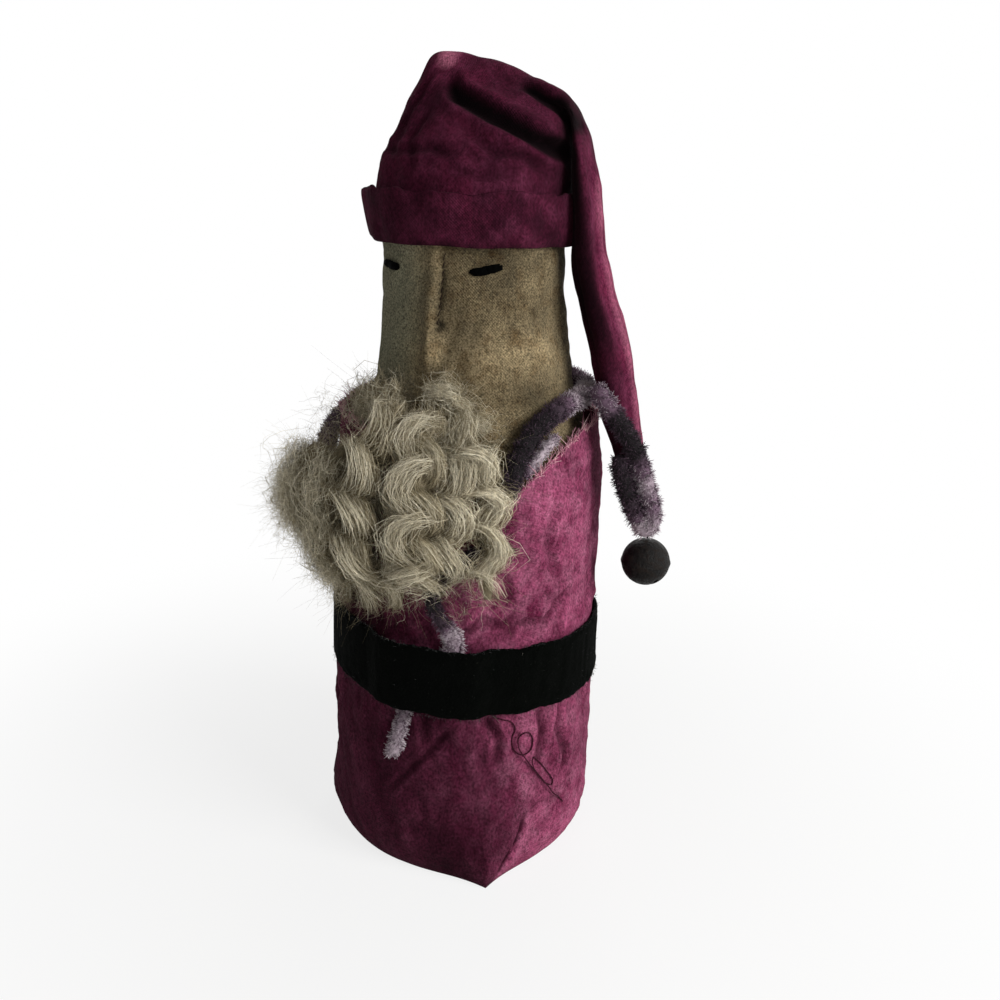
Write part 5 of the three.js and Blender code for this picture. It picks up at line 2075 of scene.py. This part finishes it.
    def strays(self) -> Surface:
        """Single hairs that have left the locks, all round the beard.

        Returns:
            The hairs.
        """
        rng = np.random.default_rng(300)
        n = self.stray_count
        angle, z = rng.uniform(-62, 32, n), rng.uniform(109, 180, n)
        r = 50 + rng.uniform(2, 13, n) * np.sin(math.pi * np.clip((z - 100) / 92, 0, 1))
        out, side = place(angle, 1.0, 0), place(angle + 90, 1.0, 0)
        sign = np.where(rng.random(n) < smoothstep(-angle, -25, 55), -1, 1)[:, None]
        heading = 0.5 * out * rng.uniform(0, 1, (n, 1)) + sign * side * rng.uniform(0.2, 1.2, (n, 1))
        heading = heading + np.array([0, 0, 1]) * rng.normal(-0.35, 0.5, (n, 1))
        return self.wisps(rng, place(angle, r, z), heading, (2, 9), rng.uniform(0.35, 0.95, n))


@dataclass
class LooseThread:
    """The dark thread that clings to the coat below the belt."""

    radius: float = 0.25
    route: tuple[tuple[float, float, float], ...] = (
        (38, 70, 0), (42.5, 68.8, 0), (46, 66.9, 0), (47.4, 63.7, 0), (46.2, 60.2, 0),
        (46.8, 56.4, 0), (48.7, 53.9, 0), (51.9, 53.2, 0), (54.6, 54.6, 0), (55.3, 58.2, 0),
        (53.8, 61.3, 0), (50.8, 62.3, 0.2), (48.6, 60.7, 0.6), (48.8, 56.5, 1), (51.5, 52, 1),
        (55, 47.3, 0.3), (58.6, 42.8, 0), (62.6, 38, 0), (66.3, 35.6, 0), (66.6, 38.2, 0),
        (62.6, 43.6, 0), (58.6, 48.4, 0), (55.4, 51.6, 0.5), (54.4, 50, 1), (56, 46.2, 1.1),
        (59.8, 41.2, 1.1), (64.3, 35.6, 1.1), (67.6, 31.4, 0.7), (72, 27.8, 0.1), (74.5, 24.7, 0))

    def build(self, thread: Material, coat: Coat) -> None:
        """Makes the thread, lying on the worn cloth along its route.

        Args:
            thread: its finish.
            coat: the coat that it lies on.
        """
        row = through(np.array(self.route), np.linspace(0, 1, 240))
        angle, z, lift = row.T
        line = evenly(place(angle, coat.outside(angle, z) + self.radius + 0.12 + lift, z), 240)
        piece = dressed(tube(line, self.radius, 8), "burgundy_thread", thread, Body.DOLL, "dark_thread",
                        "loose_thread")


@dataclass
class Inside:
    """What fills and steadies the doll: filling, sand bag, card and the round of linen."""

    filling: tuple[tuple[float, float], ...] = (
        (0, 36), (30, 36), (44, 38), (46.2, 50), (46.4, 90), (45.8, 135), (40, 165), (33, 190),
        (30.5, 215), (29.5, 243), (20, 258), (0, 263))
    bag: tuple[tuple[float, float], ...] = (
        (0, 5.3), (32, 5.4), (39.5, 9), (40.8, 19), (38.5, 28), (28, 33.5), (0, 35))
    card: tuple[tuple[float, float], ...] = (
        (0, 2.8), (20, 2.8), (40.6, 2.85), (40.9, 3.8), (40.6, 4.75), (20, 4.8), (0, 4.8))
    disc: tuple[tuple[float, float], ...] = (
        (0, 1.56), (20, 1.56), (42.4, 1.6), (42.6, 2.0), (42.4, 2.42), (20, 2.45), (0, 2.45))

    def lathe(self, profile: tuple, lumps: float, seed: int) -> Surface:
        """A profile turned about the axis, with a little lumpiness, which only goes inwards.

        Args:
            profile: rows of radius and height.
            lumps: how deep the lumps are.
            seed: picks them.

        Returns:
            The surface.
        """
        row = through(np.array(profile), np.linspace(0, 1, 60))
        angle = circle(72, 360)
        rings = place(angle[None], np.maximum(row[:, :1], 0.05), row[:, 1:])
        shift = lumps * Ripple(13, seed).at(rings) * smoothstep(row[:, :1], 2, 12)
        rings = rings - np.abs(shift)[..., None] * place(angle, 1.0, 0)[None]
        return skin(rings, chart_of(full_turn(angle, 40)[None], row[:, 1:]))

    def build(self, finishes: dict[str, Material]) -> None:
        """Makes the hidden pieces in the room that their solids hold.

        Args:
            finishes: the finish for each of the record's slots.
        """
        for profile, lumps, seed, name, slot, node in (
                (self.filling, 0.9, 91, "fibre_filling", "fibre_fill", "stuffing"),
                (self.bag, 0.7, 92, "sand_bag", "sand_bag", "weight_bag"),
                (self.card, 0, 93, "stiffening_card", "card", "base_card"),
                (self.disc, 0, 94, "linen_round", "linen", "linen_base")):
            surface = self.lathe(profile, lumps, seed)
            dressed(surface, name, finishes[slot], Body.DOLL, slot, node)


@dataclass
class Studio:
    """Camera, floor, lamps and world."""

    distance: float = 367.0
    height: float = 255.1
    azimuth: float = 26.0
    down: float = 18.0
    aside: float = 1.9
    roll: float = 1.85
    lens: float = 36.0

    def camera(self) -> None:
        """Puts the camera where the photograph was taken from.

        It looks at the doll's axis, turned aside and down, and is rolled a little.
        """
        a, aside, down, roll = (math.radians(x) for x in (self.azimuth, self.aside, self.down, self.roll))
        back = np.array([math.sin(a), -math.cos(a), 0])
        up = np.array([0, 0, 1.0])
        right = np.cross(-back, up)
        ahead = -back * math.cos(aside) + right * math.sin(aside)
        right = np.cross(ahead, up)
        look = ahead * math.cos(down) - up * math.sin(down)
        over = np.cross(right, look)
        x_axis = right * math.cos(roll) + over * math.sin(roll)
        y_axis = over * math.cos(roll) - right * math.sin(roll)
        data = bpy.data.cameras.new("camera")
        data.lens, data.sensor_width = self.lens, 36.0
        data.clip_start, data.clip_end = 0.01, 50
        spot = (back * self.distance + up * self.height) * MM
        bpy.context.scene.camera = self.placed("camera", data, x_axis, y_axis, -look, spot)

    def placed(self, name: str, data: bpy.types.ID, *columns: Array) -> Piece:
        """Puts a camera or lamp in the scene.

        Args:
            name: its name.
            data: its camera or light.
            *columns: its own three axes and its place, in metres.

        Returns:
            The object.
        """
        made = bpy.data.objects.new(name, data)
        rows = np.eye(4)
        rows[:3] = np.stack(columns, 1)
        made.matrix_world = Matrix(rows.tolist())
        bpy.context.scene.collection.objects.link(made)
        return made

    def lamp(self, name: str, spot: tuple[float, float, float], size: float, power: float) -> None:
        """A square soft lamp that looks at the doll's middle.

        Args:
            name: the lamp's name.
            spot: where it stands, in metres.
            size: its side, in metres.
            power: its power, in watts.
        """
        data = bpy.data.lights.new(name, "AREA")
        data.size, data.energy = size, power
        look = unit(np.array([0, 0, 0.15]) - np.array(spot))
        right = unit(np.cross(look, [0, 0, 1.0]))
        self.placed(name, data, right, np.cross(right, look), -look, np.array(spot))

    def seen_directly(self, tree: Tree) -> Socket:
        """Whether a ray comes from the camera, from a mirror or through glass.

        Args:
            tree: the node tree.

        Returns:
            The socket that gives 1 or 0.
        """
        camera, glossy, through_glass = (
            put(tree, "LightPath", {}, f"Is {kind} Ray") for kind in ("Camera", "Glossy", "Transmission"))
        some = put(tree, "Math", {0: camera, 1: glossy}, operation="MAXIMUM")
        return put(tree, "Math", {0: some, 1: through_glass}, operation="MAXIMUM")

    def build(self) -> None:
        """Makes the floor, the lamps and the world."""
        scene = bpy.context.scene
        scene.view_settings.view_transform = "Standard"
        reach, under = 3000, -0.2
        corners = [(x * reach, y * reach, under) for x, y in ((-1, -1), (1, -1), (1, 1), (-1, 1))]
        floor = Surface(np.array(corners, float), [np.array([[0, 1, 2, 3]])]).to_object("floor")
        material = bpy.data.materials.new("pale studio floor")
        material.use_nodes = True
        tree = material.node_tree
        tree.nodes.clear()
        plain = put(tree, "BsdfDiffuse", {"Color": linear("#f4f4f2")})
        glow = put(tree, "Emission", {"Color": linear("#ffffff"), "Strength": 1.0})
        where = put(tree, "TexCoord", {}, "Object")
        away = put(tree, "VectorMath", {0: where}, "Value", operation="LENGTH")
        fade = put(tree, "MapRange", {"Value": away, "From Min": 0.06, "From Max": 0.34, "To Min": 0.8},
                   interpolation_type="SMOOTHSTEP")
        share = put(tree, "Math", {0: self.seen_directly(tree), 1: fade}, operation="MULTIPLY")
        both = put(tree, "MixShader", {0: share, 1: plain, 2: glow})
        put(tree, "OutputMaterial", {"Surface": both})
        floor.data.materials.append(material)
        world = bpy.data.worlds.new("studio")
        world.use_nodes = True
        tree = world.node_tree
        tree.nodes.clear()
        lit = put(tree, "Background", {"Color": linear("#f4f2ee"), "Strength": 0.12})
        white = put(tree, "Background", {"Color": linear("#ffffff"), "Strength": 1.0})
        both = put(tree, "MixShader", {0: self.seen_directly(tree), 1: lit, 2: white})
        put(tree, "OutputWorld", {"Surface": both})
        scene.world = world
        self.lamp("key lamp", (0.86, -0.16, 0.5), 0.5, 9.5)
        self.lamp("fill lamp", (0.2, -0.9, 0.5), 0.9, 0.9)
        self.lamp("back lamp", (-0.2, 0.9, 0.6), 0.6, 2.0)


def laid_line(route: tuple, ball: float, count: int) -> Array:
    """A strand's middle line where a ball of its thickness rests on the linen or the coat.

    Its radius is the highest over the ball's level slices: the cloth's radius there and the
    slice's own.

    Args:
        route: the angles and heights that it passes through.
        ball: the strand's radius.
        count: how many points it gets.

    Returns:
        The points.
    """
    angle, z = through(np.array(route, float), np.linspace(0, 1, count)).T
    best = np.zeros_like(angle)
    for share in np.linspace(-1, 1, 17):
        at = z + ball * share
        on_coat = at <= FIGURE.neck_edge(angle)
        under = np.where(on_coat, FIGURE.coat_outside(angle, at), FIGURE.linen_radius(at))
        best = np.maximum(best, under + ball * math.sqrt(1 - share**2))
    return place(angle, best + GAP, z)


def front_strand() -> tuple[Array, Array]:
    """The front strand's middle line, and its thickness as a share, pressed under the belt.

    Returns:
        The line's points, and the share at each.
    """
    route = np.array([(36.5, 140), (27, 132), (16, 123), (13.5, 115), (17.5, 108), (21.5, 101.8),
                      (20.5, 95), (13, 86), (5, 78.5), (1.8, 70.5), (0, 62), (-1.6, 54)], float)
    angle, z = through(route, np.linspace(0, 1, 200)).T
    middle = FIGURE.belt_z + FIGURE.belt_rise(angle)
    free = smoothstep(np.abs(z - middle) - Belt.width / 2, 2.5, 9.5)
    half = lerp(Belt.pressed / 2, FRONT_R, free)
    below = np.where(z < middle, lerp(1.0, 0.62, smoothstep(z, 55, 68)), 1)
    half = half * below * (1 + 0.12 * np.sin(z * 1.05))
    r = FIGURE.coat_outside(angle, z) + GAP + half
    return place(angle, r, z), half / FRONT_R


def tail_strand(hat: Hat) -> Array:
    """The tail strand's middle line: down the tail's outer front, round its tip, up its back.

    Each row of the route is a height and the angle round the tail, 0 outwards and 90 to the
    doll's front. The line keeps the strand's radius off the tail's cloth.

    Args:
        hat: the hat whose tail it is.

    Returns:
        The line's points.
    """
    route = np.array([(186, 122), (180, 100), (172.5, 78), (163.5, 60), (153.5, 50), (144.5, 48),
                      (138, 56), (134.4, 76), (136, 96), (142, 103), (151, 104), (162, 100)], float)
    height, round_by = through(route, np.linspace(0, 1, 200)).T
    rows = np.array(hat.shape.tail)[::-1]
    outer, inner, broad = (np.interp(height, rows[:, 1], rows[:, k]) for k in (0, 2, 4))
    w = np.radians(round_by)
    out_axis, back_axis = hat.axes()
    clear = Chenille.radius + 0.2
    out = (outer + inner) / 2 + ((outer - inner) / 2 + clear) * np.cos(w)
    side = -(broad + clear) * np.sin(w)
    line = out[:, None] * out_axis + side[:, None] * back_axis
    line[:, 2] = height
    return line


def strands(hat: Hat) -> list[Chenille]:
    """The chenille strands, each with its middle line and how light it is along it: its dye, and on the
    front strand also painted shadow under the beard.

    Args:
        hat: the hat whose tail the last one is sewn to.

    Returns:
        The collar, its short end, the front strand and the tail's.
    """
    collar = laid_line((
        (40.5, 153), (45.5, 164), (55, 173.5), (73, 179.5), (94, 181), (120, 181), (150, 181),
        (180, 181), (210, 180), (240, 174), (265, 168), (285, 162.5), (300, 157.5), (311, 152)),
        Chenille.radius, 240)
    collar_end = laid_line(((49, 158.5), (55, 163), (62, 167.2), (69, 170)), 1.9, 80)
    front, press = front_strand()
    return [
        Chenille("collar_chenille", "collar_trim", Body.DOLL, collar, (
            (0, 0.22), (0.06, 0.08), (0.12, 0.1), (0.16, 0.3), (0.19, 0.8), (0.27, 1.0), (0.33, 0.6),
            (0.42, 0.12), (0.5, 0.55), (0.6, 0.7), (0.7, 0.2), (0.8, 0.1), (0.88, 0.5), (1, 0.6)),
            seed=81),
        Chenille("collar_chenille_end", "collar_trim", Body.DOLL, collar_end, (
            (0, 0.6), (0.3, 0.9), (0.7, 0.95), (1, 0.7)), radius=2.5, core=1.6, seed=84),
        # The front strand's dark first stretch is partly its dye and partly painted shadow under the beard
        Chenille("front_chenille", "front_trim", Body.DOLL, front, (
            (0, 0.1), (0.2, 0.2), (0.33, 0.1), (0.41, 0.3), (0.45, 0.85), (0.55, 0.7), (0.72, 0.42),
            (0.82, 0.75), (1, 0.85)), squeeze=press, radius=FRONT_R, core=2.2, seed=82, girth=(
            (0, 1), (0.35, 0.95), (0.4, 0.85), (0.47, 1.15), (0.52, 1.0), (0.7, 0.8), (0.8, 0.5),
            (0.84, 0.75), (0.865, 0.58), (0.9, 0.95), (0.93, 0.8), (1, 1.35))),
        Chenille("tail_chenille", "tail_trim", Body.TAIL, tail_strand(hat), (
            (0, 0.6), (0.11, 0.6), (0.14, 0.12), (0.31, 0.06), (0.36, 0.5), (0.44, 0.8), (0.54, 0.62),
            (0.62, 0.8), (0.7, 0.85), (0.75, 0.3), (0.85, 0.12), (1, 0.2)), seed=83),
    ]


def main() -> None:
    """Builds the picture: the frame, the camera, then each sub-assembly in order."""
    logging.basicConfig(level=logging.INFO, format="%(name)s: %(message)s")
    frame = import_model()
    studio = Studio()
    studio.camera()

    rose = DyedCotton("hand-dyed rose cotton", "#571d35", "#8b4460", "#a5677f", speckle=0.5).make()
    plum = DyedCotton("hand-dyed plum cotton", "#361020", "#4d182d", "#693048",
                      bloomed=0.4, speckle=0.4).make()
    linen = StainedLinen().make()
    # Stranded floss lies flat and close, so it is a plain black
    floss = SpunThread("black embroidery floss", "#010101", "#020202", 2.0, 0.02).make()
    # Sewing thread is thin and waxed, so its plies catch a little light
    brown_thread = SpunThread("dark brown sewing thread", "#120c08", "#2e2118").make()
    burgundy = SpunThread("burgundy sewing thread", "#1d0610", "#471529").make()
    # Cut pile is dark where the dye took and pale where it skipped; the darker roots and core are painted
    # shade
    chenille = PileFibre("variegated cut-pile chenille", "#0b0508", "#665060", "#d2c6cb", 0.9, 0.0).make()
    # Washed mohair is cream and nearly white at the ends; its dark tone is painted shade in the depths of a
    # lock
    mohair = PileFibre("curly cream mohair", "#2c2412", "#a6997b", "#f8efd6", 0.65, 0.0).make()
    # Torn threads show the dye's paler core
    fray = PileFibre("frayed rose cotton ends", "#7a3049", "#c07a8f", "#eec4c4").make()
    # Felt sheds black fibres, and pale lint clings to it
    lint = PileFibre("felt fuzz and pale lint", "#020302", "#0a0b09", "#8a887c").make()
    hidden = {
        # Carded filling is white, with hollows between its tufts
        "fibre_fill": PlainGrain("white fibre filling", "#e4ddcb", "#cfc6b0", 6, 0.95).make(),
        # Unbleached calico is dull and flecked with husk
        "sand_bag": PlainGrain("calico sand bag", "#a89f88", "#8b8169", 3, 0.95).make(),
        # Board pressed from old paper is a speckled brown
        "card": PlainGrain("greyboard", "#8d7450", "#705a3c", 2, 0.85).make(),
        "linen": linen,
    }

    coat = Coat()
    LooseThread().build(burgundy, coat)
    coat.build(rose, fray)
    Head().build(linen, floss, brown_thread)
    Belt().build(WoolFelt().make(), lint)
    hat = Hat()
    hat.build(plum)
    for strand in strands(hat):
        strand.build(chenille)
    Bell().build(RustedTin().make(), burgundy)
    Beard(frame["nodes"]).build(mohair)
    Inside().build(hidden)
    pellet = frame["nodes"]["bell_pellet"]
    pellet.data.materials.clear()
    # A turned steel ball, worn dull by rattling
    pellet.data.materials.append(PlainGrain("dull steel ball", "#7a756d", "#4f4a44", 1.2, 0.45, 0.9).make())
    studio.build()


if __name__ == "__main__":
    main()
